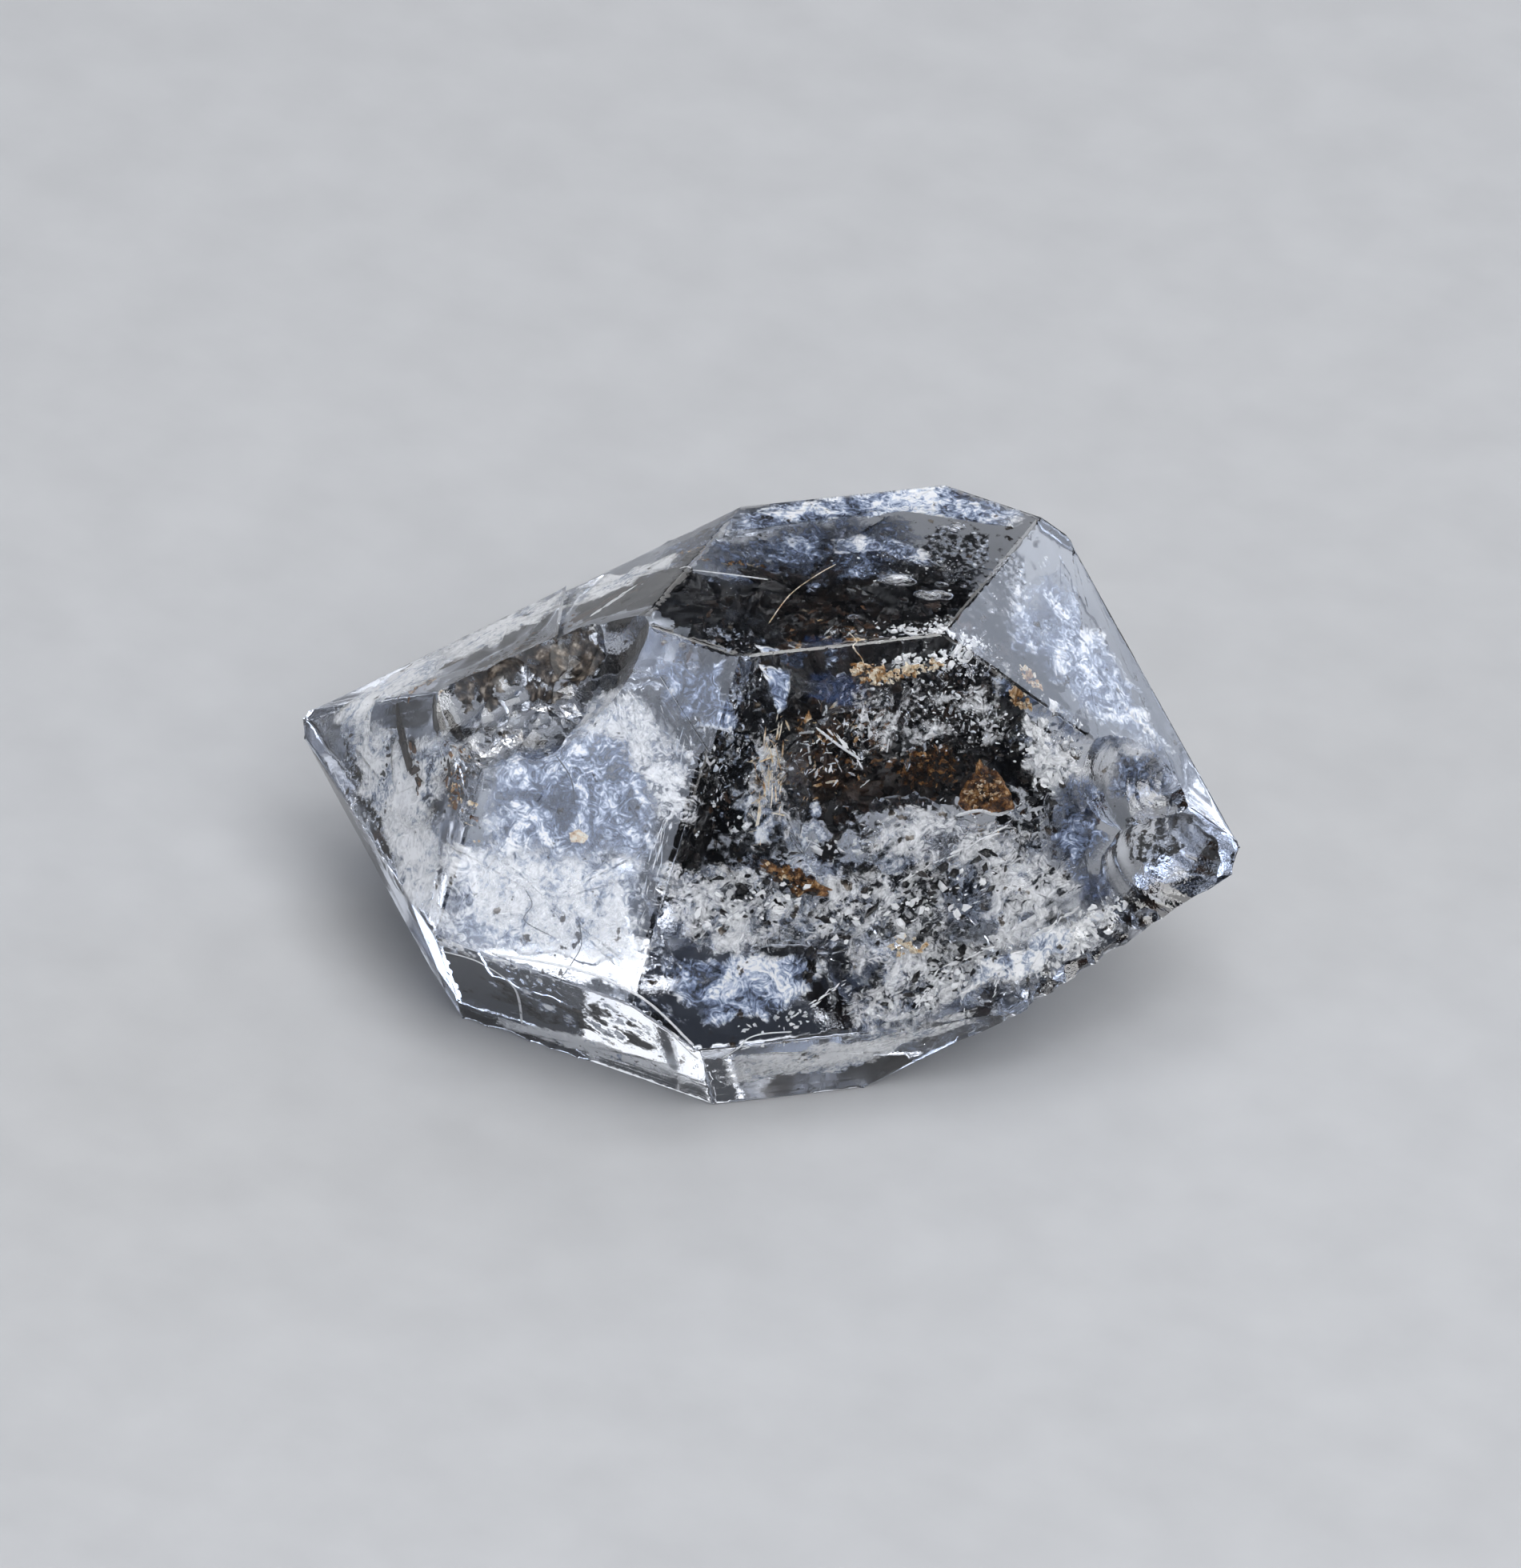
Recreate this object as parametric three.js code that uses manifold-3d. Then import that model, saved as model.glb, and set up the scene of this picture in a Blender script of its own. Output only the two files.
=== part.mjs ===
// Herkimer diamond: one doubly terminated crystal of clear quartz, lying on one of its prism faces.
// Millimetres. +X runs along the crystal's long axis, -Y is the side with the big sloping face and
// the scars, and +Z is up. The origin is in the resting face's plane, under the middle of the
// crystal's bounding box. Places and distances below are measured from the crystal's core.
import * as THREE from 'three';
import { ConvexGeometry } from 'three/addons/geometries/ConvexGeometry.js';
import { mergeVertices } from 'three/addons/utils/BufferGeometryUtils.js';
import Module from 'manifold-3d';

// ---- habit ----------------------------------------------------------------------------------

// In quartz the normals of the pyramid faces (r and z) lean this far from the long axis.
const PYRAMID_TILT_DEG = 51.79;

// Six sectors round the long axis. Each has a prism face, and a pyramid face at either end.
// turn: degrees from straight up towards -Y. The rest: distance of each face from the core.
const SECTORS = [
  { name: 'top', turn: 0, right: 4.39, prism: 3.37, left: 3.5 },
  { name: 'upper_front', turn: 60, right: 3.04, prism: 3.6, left: 4.79 },
  { name: 'lower_front', turn: 120, right: 4.88, prism: 5.2, left: 6.0 },
  { name: 'bottom', turn: 180, right: 5.06, prism: 4.0, left: 5.66 },
  { name: 'lower_back', turn: 240, right: 6.07, prism: 3.91, left: 4.46 },
  { name: 'upper_back', turn: 300, right: 5.87, prism: 4.89, left: 3.21 },
];

// ---- growth ledges: places where the last layer of growth stopped short ----------------------

// raise: how much farther out a face stands where the layer is present.
// ends: planes that the layer ends at, each a point and the direction that points out of it.
const LEDGES = [
  {
    raise: { 'top.left': 0.06, 'upper_back.left': 0.06 },
    ends: [{ at: [-3.74, 0.37, 1.51], out: [0.93, 0.28, -0.25] }],
  },
  {
    raise: { 'upper_front.prism': 0.05 },
    ends: [
      { at: [0.32, -3.0, 2.0], out: [0.62, 0.39, 0.68] },
      { at: [-0.58, -2.56, 2.77], out: [-0.05, 0.5, 0.87] },
    ],
  },
  {
    raise: { 'upper_back.prism': 0.07 },
    ends: [{ at: [-1.9, 3.4, 1.8], out: [-0.96, 0.1, -0.26] }],
  },
  {
    raise: { 'bottom.left': 0.06 },
    ends: [{ at: [-4.9, 0.3, -3.2], out: [0.25, -0.9, 0.3] }],
  },
];

// ---- broken places --------------------------------------------------------------------------

// Each scar is a shallow bowl. at: middle of its mouth. out: the way the mouth faces. toward: the
// side that the blow came from. mouth and depth: radius and depth of the bowl. stretch: how much
// longer it is along toward. rib: height of its shell-like ripples. lump: height of its roughness.
const UPPER_TIP_SCAR = {
  at: [5.75, 1.34, 0.78], out: [0.62, -0.52, 0.6], toward: [0.3, 0.75, -0.35],
  mouth: 0.84, depth: 0.36, stretch: 1.05, rib: 0.005, lump: 0.004, rings: 56,
};
const LOWER_TIP_SCAR = {
  at: [6.42, 1.18, -0.24], out: [0.6, -0.7, 0.16], toward: [0.5, 0.75, 0.42],
  mouth: 0.92, depth: 0.4, stretch: 1.14, rib: 0.012, lump: 0.004, rings: 64,
};
const CONTACT_SCAR = {
  at: [-2.78, -2.63, 1.58], out: [-0.371, -0.519, 0.77], toward: [-0.754, -0.31, -0.578],
  mouth: 0.92, depth: 0.2, stretch: 1.4, rib: 0, lump: 0.016, rings: 40,
};

// Nicks along two edges, small bowls that follow each other. at, mouth and depth as above.
const RIGHT_EDGE_OUT = [0.8, -0.44, -0.4];
const RIGHT_EDGE_NICKS = [
  { at: [6.42, 0.76, -1.02], mouth: 0.3, depth: 0.2 },
  { at: [6.12, 0.2, -1.62], mouth: 0.26, depth: 0.12 },
  { at: [5.86, -0.16, -1.84], mouth: 0.2, depth: 0.09 },
  { at: [5.62, -0.5, -2.04], mouth: 0.14, depth: 0.08 },
  { at: [5.38, -0.83, -2.2], mouth: 0.2, depth: 0.12 },
  { at: [5.05, -1.24, -2.42], mouth: 0.15, depth: 0.07 },
];
const LOWER_EDGE_OUT = [0, -0.87, -0.87];
const LOWER_EDGE_NICKS = [
  { at: [-2.86, -3.66, -4.02], mouth: 0.2, depth: 0.04 },
  { at: [-2.3, -3.65, -4.02], mouth: 0.34, depth: 0.05 },
  { at: [-1.3, -3.67, -4.02], mouth: 0.26, depth: 0.03 },
];
const NICK_RINGS = 12;
const NICK_LUMP = 0.012;

// Bruises: bands where many small flakes have come off. from and to: the band's middle line.
// out: the way the band faces. width: the band's half width. lean: how far a flake may be tipped.
const EDGE_BRUISE = {
  from: [5.1, -1.02, -2.0], to: [6.36, 0.62, -1.06], out: [0.6185, -0.6805, 0.3929],
  flakes: 20, width: 0.34, mouth: [0.16, 0.32], depth: [0.03, 0.09], lean: 0.45, seed: 3,
};
const CONTACT_BRUISE = {
  from: [-2.0, -2.2, 2.02], to: [-3.75, -2.88, 0.7], out: [-0.371, -0.519, 0.77],
  flakes: 22, width: 0.58, mouth: [0.2, 0.4], depth: [0.06, 0.14], lean: 0.6, seed: 4,
};

// Splinters left standing on the floor of the contact scar. spread: half the stretch they lie
// on, along and across it. shape: their proportions.
const SPLINTERS = { count: 14, size: [0.1, 0.2], spread: [1.1, 0.55], shape: [1.5, 0.6, 1], seed: 5 };

// ---- finish ---------------------------------------------------------------------------------

const RIB_SPACING = 0.3;
const LUMP_SIZE = 0.42;
const WELD = 1e-4;
const QUARTZ = { color: 0xe9eef6, roughness: 0.03, metalness: 0 };

// ---- helpers --------------------------------------------------------------------------------

const vector = (list) => new THREE.Vector3(...list);

// Seeded draws, the same in every run.
function draws(seed) {
  let count = 0;
  return (low = 0, high = 1) => {
    count += 1;
    return THREE.MathUtils.lerp(low, high, THREE.MathUtils.seededRandom(seed * 1000 + count));
  };
}

// The eighteen face planes as { normal, distance }, some of them raised by a ledge.
function facePlanes(raise = {}) {
  const tilt = THREE.MathUtils.degToRad(PYRAMID_TILT_DEG);
  const lean = { left: -Math.cos(tilt), prism: 0, right: Math.cos(tilt) };
  const planes = [];
  for (const sector of SECTORS) {
    const turn = THREE.MathUtils.degToRad(sector.turn);
    for (const [end, along] of Object.entries(lean)) {
      const round = Math.sqrt(1 - along * along);
      planes.push({
        normal: new THREE.Vector3(along, -round * Math.sin(turn), round * Math.cos(turn)),
        distance: sector[end] + (raise[`${sector.name}.${end}`] ?? 0),
      });
    }
  }
  return planes;
}

// The point where three planes meet, or null where two of them are parallel.
function meet(a, b, c) {
  const bc = new THREE.Vector3().crossVectors(b.normal, c.normal);
  const ca = new THREE.Vector3().crossVectors(c.normal, a.normal);
  const ab = new THREE.Vector3().crossVectors(a.normal, b.normal);
  const volume = a.normal.dot(bc);
  if (Math.abs(volume) < 1e-9) return null;
  return bc.multiplyScalar(a.distance)
    .addScaledVector(ca, b.distance)
    .addScaledVector(ab, c.distance)
    .divideScalar(volume);
}

// The closed convex body behind all the planes.
function bodyBehind(planes) {
  const corners = [];
  for (let i = 0; i < planes.length; i += 1) {
    for (let j = i + 1; j < planes.length; j += 1) {
      for (let k = j + 1; k < planes.length; k += 1) {
        const corner = meet(planes[i], planes[j], planes[k]);
        if (!corner) continue;
        const inside = planes.every(({ normal, distance }) => normal.dot(corner) < distance + WELD);
        const known = corners.some((other) => other.distanceTo(corner) < WELD);
        if (inside && !known) corners.push(corner);
      }
    }
  }
  return new ConvexGeometry(corners);
}

// The whole crystal's body with one ledge's layer on it, up to where the layer ends.
function layer({ raise, ends }) {
  const limits = ends.map(({ at, out }) => {
    const normal = vector(out).normalize();
    return { normal, distance: normal.dot(vector(at)) };
  });
  return bodyBehind([...facePlanes(raise), ...limits]);
}

// A smooth roughness from three crossed waves, between about -1 and 1.
function roughness(point, size, seed) {
  const wave = (2 * Math.PI) / size;
  const first = Math.sin(wave * point.x + 2.1 * seed + Math.sin(0.7 * wave * point.z));
  const second = Math.sin(0.8 * wave * point.y + 1.3 * seed + Math.sin(0.9 * wave * point.x));
  const third = Math.sin(1.7 * wave * point.z + 0.6 * seed + Math.sin(1.1 * wave * point.y));
  return (first + second + 0.6 * third) / 2.6;
}

// The rippled ball whose lowest part cuts a scar. Its pole is where the blow struck the rim, so
// that the ripples run round that point.
function bowl({ at, out, toward, mouth, depth, stretch = 1, rib = 0, lump = 0, rings, seed = 1 }) {
  const radius = (mouth * mouth + depth * depth) / (2 * depth);
  const centre = new THREE.Vector3(0, 0, radius - depth);
  const pole = new THREE.Vector3(mouth, 0, 0).sub(centre).normalize();
  const ball = new THREE.SphereGeometry(radius, rings, rings);
  const position = ball.getAttribute('position');
  const point = new THREE.Vector3();
  for (let i = 0; i < position.count; i += 1) {
    point.fromBufferAttribute(position, i);
    const fromPole = radius * Math.acos(THREE.MathUtils.clamp(point.y / radius, -1, 1));
    const ripple = rib * Math.sin((2 * Math.PI * fromPole) / RIB_SPACING);
    point.setLength(radius + ripple + lump * roughness(point, LUMP_SIZE, seed));
    position.setXYZ(i, point.x, point.y, point.z);
  }
  ball.applyQuaternion(new THREE.Quaternion().setFromUnitVectors(new THREE.Vector3(0, 1, 0), pole));
  ball.translate(centre.x, centre.y, centre.z);
  ball.scale(stretch, 1, 1);
  const up = vector(out).normalize();
  const side = vector(toward).projectOnPlane(up).normalize();
  const across = new THREE.Vector3().crossVectors(up, side);
  ball.applyMatrix4(new THREE.Matrix4().makeBasis(side, across, up).setPosition(vector(at)));
  return ball;
}

// Small bowls in a row on an edge, each turned a little.
function nicks(list, out, seed) {
  const draw = draws(seed);
  return list.map((nick) => bowl({
    ...nick,
    out,
    toward: [draw(-1, 1), draw(-1, 1), draw(-1, 1)],
    lump: NICK_LUMP,
    rings: NICK_RINGS,
    seed: draw(1, 9),
  }));
}

// The flakes of a bruise, scattered along its band, each tipped a little out of the face.
function flakes({ from, to, out, flakes: count, width, mouth, depth, lean, seed }) {
  const draw = draws(seed);
  const start = vector(from);
  const along = vector(to).sub(start);
  const up = vector(out).normalize();
  const across = new THREE.Vector3().crossVectors(up, along).normalize();
  return Array.from({ length: count }, (_, index) => {
    const at = start.clone()
      .addScaledVector(along, (index + draw()) / count)
      .addScaledVector(across, draw(-width, width));
    const tip = new THREE.Vector3(draw(-1, 1), draw(-1, 1), draw(-1, 1)).multiplyScalar(lean);
    return bowl({
      at: at.toArray(),
      out: tip.add(up).toArray(),
      toward: [draw(-1, 1), draw(-1, 1), draw(-1, 1)],
      mouth: draw(...mouth),
      depth: draw(...depth),
      lump: NICK_LUMP,
      rings: NICK_RINGS,
      seed: draw(1, 9),
    });
  });
}

// Sharp splinters sunk in the floor of the contact scar.
function splinters({ count, size, spread, shape, seed }) {
  const draw = draws(seed);
  const { at, out, toward, depth } = CONTACT_SCAR;
  const up = vector(out).normalize();
  const side = vector(toward).projectOnPlane(up).normalize();
  const across = new THREE.Vector3().crossVectors(up, side);
  return Array.from({ length: count }, () => {
    const splinter = new THREE.OctahedronGeometry(draw(...size));
    splinter.scale(...shape);
    splinter.rotateX(draw(0, Math.PI));
    splinter.rotateZ(draw(0, Math.PI));
    const place = vector(at)
      .addScaledVector(side, draw(-spread[0], spread[0]))
      .addScaledVector(across, draw(-spread[1], spread[1]))
      .addScaledVector(up, -depth);
    splinter.translate(place.x, place.y, place.z);
    return splinter;
  });
}

// ---- solids ---------------------------------------------------------------------------------

const wasm = await Module();
wasm.setup();

// A closed three.js geometry as a solid that can be joined and cut.
function solid(geometry) {
  const bare = geometry.clone();
  bare.deleteAttribute('normal');
  bare.deleteAttribute('uv');
  const welded = mergeVertices(bare, WELD);
  return new wasm.Manifold(new wasm.Mesh({
    numProp: 3,
    vertProperties: new Float32Array(welded.getAttribute('position').array),
    triVerts: new Uint32Array(welded.getIndex().array),
  }));
}

// A solid as a geometry again.
function surface(body) {
  const mesh = body.getMesh();
  const geometry = new THREE.BufferGeometry();
  geometry.setAttribute('position', new THREE.BufferAttribute(mesh.vertProperties, 3));
  geometry.setIndex(new THREE.BufferAttribute(mesh.triVerts, 1));
  return geometry;
}

// The one piece that is left when loose crumbs have fallen away.
function largest(pieces) {
  return pieces.reduce((best, piece) => (piece.volume() > best.volume() ? piece : best));
}

// The broken and weathered crystal.
function crystalSurface() {
  let grown = solid(bodyBehind(facePlanes()));
  for (const ledge of LEDGES) grown = grown.add(solid(layer(ledge)));
  const broken = [
    bowl(UPPER_TIP_SCAR),
    bowl(LOWER_TIP_SCAR),
    bowl(CONTACT_SCAR),
    ...nicks(RIGHT_EDGE_NICKS, RIGHT_EDGE_OUT, 1),
    ...nicks(LOWER_EDGE_NICKS, LOWER_EDGE_OUT, 2),
    ...flakes(EDGE_BRUISE),
    ...flakes(CONTACT_BRUISE),
  ];
  let crystal = grown;
  for (const scar of broken) crystal = crystal.subtract(solid(scar));
  for (const splinter of splinters(SPLINTERS)) crystal = crystal.add(solid(splinter).intersect(grown));
  return surface(largest(crystal.decompose()));
}

const geometry = crystalSurface();
geometry.computeBoundingBox();
const { min, max } = geometry.boundingBox;
geometry.translate(-(min.x + max.x) / 2, -(min.y + max.y) / 2, -min.z);

const crystal = new THREE.Mesh(geometry, new THREE.MeshStandardMaterial({ ...QUARTZ, flatShading: true }));
crystal.name = 'quartz_crystal';

const group = new THREE.Group();
group.add(crystal);

export default group;
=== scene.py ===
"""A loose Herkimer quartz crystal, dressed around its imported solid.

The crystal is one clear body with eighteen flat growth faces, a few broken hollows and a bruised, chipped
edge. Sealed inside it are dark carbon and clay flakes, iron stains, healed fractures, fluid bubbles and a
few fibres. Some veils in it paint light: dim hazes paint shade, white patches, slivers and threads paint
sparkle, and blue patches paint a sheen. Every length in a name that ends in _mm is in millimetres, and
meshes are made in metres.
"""

import logging
import math
import random
from dataclasses import dataclass, field
from enum import Enum
from functools import lru_cache, partial
from typing import Protocol, Sequence

import bmesh
import bpy
import numpy as np
from mathutils import Matrix, Quaternion, Vector, geometry, noise
from mathutils.bvhtree import BVHTree


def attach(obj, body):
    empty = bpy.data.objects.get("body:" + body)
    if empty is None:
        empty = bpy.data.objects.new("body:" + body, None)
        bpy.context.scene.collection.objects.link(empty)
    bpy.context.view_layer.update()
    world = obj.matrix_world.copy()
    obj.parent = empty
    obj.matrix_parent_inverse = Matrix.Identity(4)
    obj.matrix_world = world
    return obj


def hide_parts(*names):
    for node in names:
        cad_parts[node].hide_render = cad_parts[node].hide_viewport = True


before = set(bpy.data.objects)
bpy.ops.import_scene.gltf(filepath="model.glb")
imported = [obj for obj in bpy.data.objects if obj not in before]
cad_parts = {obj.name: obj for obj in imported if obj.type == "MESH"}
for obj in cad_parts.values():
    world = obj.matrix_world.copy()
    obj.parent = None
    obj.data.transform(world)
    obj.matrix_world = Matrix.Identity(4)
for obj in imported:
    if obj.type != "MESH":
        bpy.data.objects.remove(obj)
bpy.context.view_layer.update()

LOG = logging.getLogger("herkimer_quartz")
MM = 0.001
BODY = "root"
CAD_NODE = "quartz_crystal"
QUARTZ_IOR = 1.544
CLEAR = "#FCFDFF"

Face = tuple[int, ...]
Mesh = tuple[list[Vector], list[Face]]


def linear(hex_code: str) -> tuple[float, float, float, float]:
    """Turns an sRGB hex colour into linear values.

    Args:
        hex_code: The colour as # and six hex digits.

    Returns:
        Red, green, blue and a full alpha, linear.
    """
    parts = [int(hex_code[i : i + 2], 16) / 255 for i in (1, 3, 5)]
    red, green, blue = (c / 12.92 if c <= 0.04045 else ((c + 0.055) / 1.055) ** 2.4 for c in parts)
    return (red, green, blue, 1.0)


def per_metre(size_mm: float) -> float:
    """Gives the texture scale whose features are about size_mm apart, for coordinates in metres."""
    return 1 / (size_mm * MM)


def direction(azimuth_deg: float, elevation_deg: float) -> Vector:
    """Gives the direction from the crystal at an azimuth, where 0 is towards -Y, and an elevation."""
    turn, rise = math.radians(azimuth_deg), math.radians(elevation_deg)
    return Vector((math.sin(turn) * math.cos(rise), -math.cos(turn) * math.cos(rise), math.sin(rise)))


def show(name: str, data: bpy.types.ID) -> bpy.types.Object:
    """Puts a mesh, a light or a camera into the scene, and gives its object."""
    shown = bpy.data.objects.new(name, data)
    bpy.context.scene.collection.objects.link(shown)
    return shown


def write_values(mesh: bpy.types.Mesh, name: str, values: Sequence[float]) -> None:
    """Stores one value per point of a mesh, for its material to read."""
    mesh.attributes.new(name, "FLOAT", "POINT").data.foreach_set("value", np.array(values, np.float32))


class Kind(Enum):
    """The kinds of node in the materials, each with its type, its settings and the output that is read."""

    PLACE = ("ShaderNodeTexCoord", {}, "Object")
    ATTRIBUTE = ("ShaderNodeAttribute", {}, "Fac")
    NOISE = ("ShaderNodeTexNoise", {}, "Fac")
    SUM = ("ShaderNodeMath", {"operation": "ADD"}, "Value")
    PRODUCT = ("ShaderNodeMath", {"operation": "MULTIPLY"}, "Value")
    PRODUCT_PLUS = ("ShaderNodeMath", {"operation": "MULTIPLY_ADD"}, "Value")
    RAMP = ("ShaderNodeValToRGB", {}, "Color")
    BLEND = ("ShaderNodeMix", {"data_type": "RGBA"}, 2)
    BUMP = ("ShaderNodeBump", {}, "Normal")
    SURFACE = ("ShaderNodeBsdfPrincipled", {}, "BSDF")
    ABSORPTION = ("ShaderNodeVolumeAbsorption", {}, "Volume")
    OUTPUT = ("ShaderNodeOutputMaterial", {}, None)


@dataclass
class Shader:
    """A node material under construction."""

    name: str
    tree: bpy.types.NodeTree = field(init=False)
    material: bpy.types.Material = field(init=False)

    def __post_init__(self) -> None:
        """Makes an empty node material."""
        self.material = bpy.data.materials.new(self.name)
        self.material.use_nodes = True
        self.tree = self.material.node_tree
        self.tree.nodes.clear()

    def add(
        self, kind: Kind, attribute: str = "", stops: Sequence[tuple[float, object]] = (), **links: object
    ) -> bpy.types.NodeSocket | None:
        """Adds a node, with its settings and what goes into its sockets.

        Args:
            kind: The node's kind.
            attribute: The name of the mesh attribute that it reads.
            stops: Position and colour of each stop on a ramp, where a colour is a hex code or one grey value.
            **links: A value or an output for each input, named with _ for a space, or with i and its number.

        Returns:
            The output that is read.
        """
        type_name, settings, output = kind.value
        node = self.tree.nodes.new(type_name)
        for key, value in settings.items():
            setattr(node, key, value)
        if attribute:
            node.attribute_name = attribute
        for index, (position, colour) in enumerate(stops):
            elements = node.color_ramp.elements
            element = elements[index] if index < len(elements) else elements.new(position)
            element.position = position
            element.color = linear(colour) if isinstance(colour, str) else (colour, colour, colour, 1)
        for key, value in links.items():
            name = key.replace("_", " ")
            numbered = name[0] == "i" and name[1:].isdigit()
            socket = node.inputs[int(name[1:]) if numbered else name]
            if isinstance(value, bpy.types.NodeSocket):
                self.tree.links.new(value, socket)
            else:
                socket.default_value = value
        return None if output is None else node.outputs[output]


class Zone(Enum):
    """The six sides around the long axis, each with its turn from straight up, in degrees."""

    TOP = 0
    UPPER_FRONT = 60
    LOWER_FRONT = 120
    BOTTOM = 180
    LOWER_BACK = 240
    UPPER_BACK = 300


class Form(Enum):
    """Where along the crystal a face lies: on the point at either end, or on the prism between them."""

    LEFT_POINT = -1
    PRISM = 0
    RIGHT_POINT = 1


@dataclass(frozen=True)
class Relief:
    """The fine growth relief of one face, cut into the flat face. Heights are in micrometres.

    Attributes:
        wave_um: Height of the slow swell over the face.
        wave_mm: Length of the swell.
        step_um: Height of one growth step.
        step_mm: Usual distance between growth steps.
        stria_um: Height of the striations, which run across the long axis.
        stria_mm: Usual distance between striations.
        etch_um: Height of the frosted, etched grain.
        haze: How frosted the face is, from 0 to 1.
    """

    wave_um: float = 5.0
    wave_mm: float = 2.2
    step_um: float = 2.5
    step_mm: float = 0.9
    stria_um: float = 0.0
    stria_mm: float = 0.16
    etch_um: float = 0.25
    haze: float = 0.1


PYRAMID_TILT_DEG = 51.79


def facet_normal(zone: Zone, form: Form) -> Vector:
    """Gives the outward normal of a growth face, which quartz fixes to within minutes of arc.

    Args:
        zone: The side that the face lies on.
        form: The face's place along the crystal.

    Returns:
        A unit vector.
    """
    turn = math.radians(zone.value)
    outward = Vector((0, -math.sin(turn), math.cos(turn)))
    if form is Form.PRISM:
        return outward
    tilt = math.radians(PYRAMID_TILT_DEG)
    return Vector((form.value * math.cos(tilt), 0, 0)) + outward * math.sin(tilt)


RELIEFS: dict[tuple[Zone, Form], Relief] = {
    (Zone.TOP, Form.PRISM): Relief(wave_um=5, step_um=2, step_mm=1.3, haze=0.0, etch_um=0.1),
    (Zone.TOP, Form.RIGHT_POINT): Relief(wave_um=7, step_um=3, step_mm=1.0, haze=0.55, etch_um=0.5),
    (Zone.TOP, Form.LEFT_POINT): Relief(wave_um=8, step_um=3, step_mm=0.7, haze=0.5, etch_um=0.5),
    (Zone.UPPER_FRONT, Form.PRISM): Relief(wave_um=7, step_um=3, stria_um=1.6, haze=0.6, etch_um=0.5),
    (Zone.UPPER_FRONT, Form.RIGHT_POINT): Relief(wave_um=6, step_um=2, step_mm=1.4, haze=0.05, etch_um=0.15),
    (Zone.UPPER_FRONT, Form.LEFT_POINT): Relief(wave_um=7, step_um=3, haze=0.45, etch_um=0.4),
    (Zone.LOWER_FRONT, Form.PRISM): Relief(wave_um=9, wave_mm=1.4, step_um=4, stria_um=2.0, haze=0.1),
    (Zone.LOWER_FRONT, Form.RIGHT_POINT): Relief(wave_um=6, step_um=3, step_mm=0.5, stria_um=1.5, haze=0.15),
}
PLAIN_RELIEF = Relief(stria_um=1.2, haze=0.2)


def relief_of(zone: Zone, form: Form) -> Relief:
    """Gives the growth relief of a face."""
    return RELIEFS.get((zone, form), PLAIN_RELIEF)


def smooth(low: float, high: float, value: float) -> float:
    """Rises smoothly from 0 at low to 1 at high."""
    t = min(1.0, max(0.0, (value - low) / (high - low)))
    return t * t * (3 - 2 * t)


def ripple(point_mm: Vector, size_mm: float, shift: float = 0.0) -> float:
    """Gives smooth noise from about -1 to 1, with features about size_mm wide."""
    return noise.noise((point_mm + Vector((shift, 2.3 * shift, -shift))) / size_mm)


def terraces(height: float, softness: float = 0.16) -> float:
    """Turns a slope into flat terraces with short, soft risers."""
    base = math.floor(height)
    return base + smooth(0.5 - softness, 0.5 + softness, height - base)


def edges_of(corners: Sequence[int]) -> list[tuple[int, int]]:
    """Gives a triangle's edges, each with its lower number first."""
    return [tuple(sorted((int(corners[i]), int(corners[(i + 1) % 3])))) for i in range(3)]


def regions(linked: Sequence[Sequence[int]]) -> list[list[int]]:
    """Groups what is linked, directly or through others.

    Args:
        linked: For each member, the numbers of those that it is linked to.

    Returns:
        The numbers in each group.
    """
    seen = [False] * len(linked)
    groups = []
    for start in range(len(linked)):
        if seen[start]:
            continue
        seen[start] = True
        group = [start]
        for one in group:
            for other in linked[one]:
                if not seen[other]:
                    seen[other] = True
                    group.append(other)
        groups.append(group)
    return groups


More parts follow.
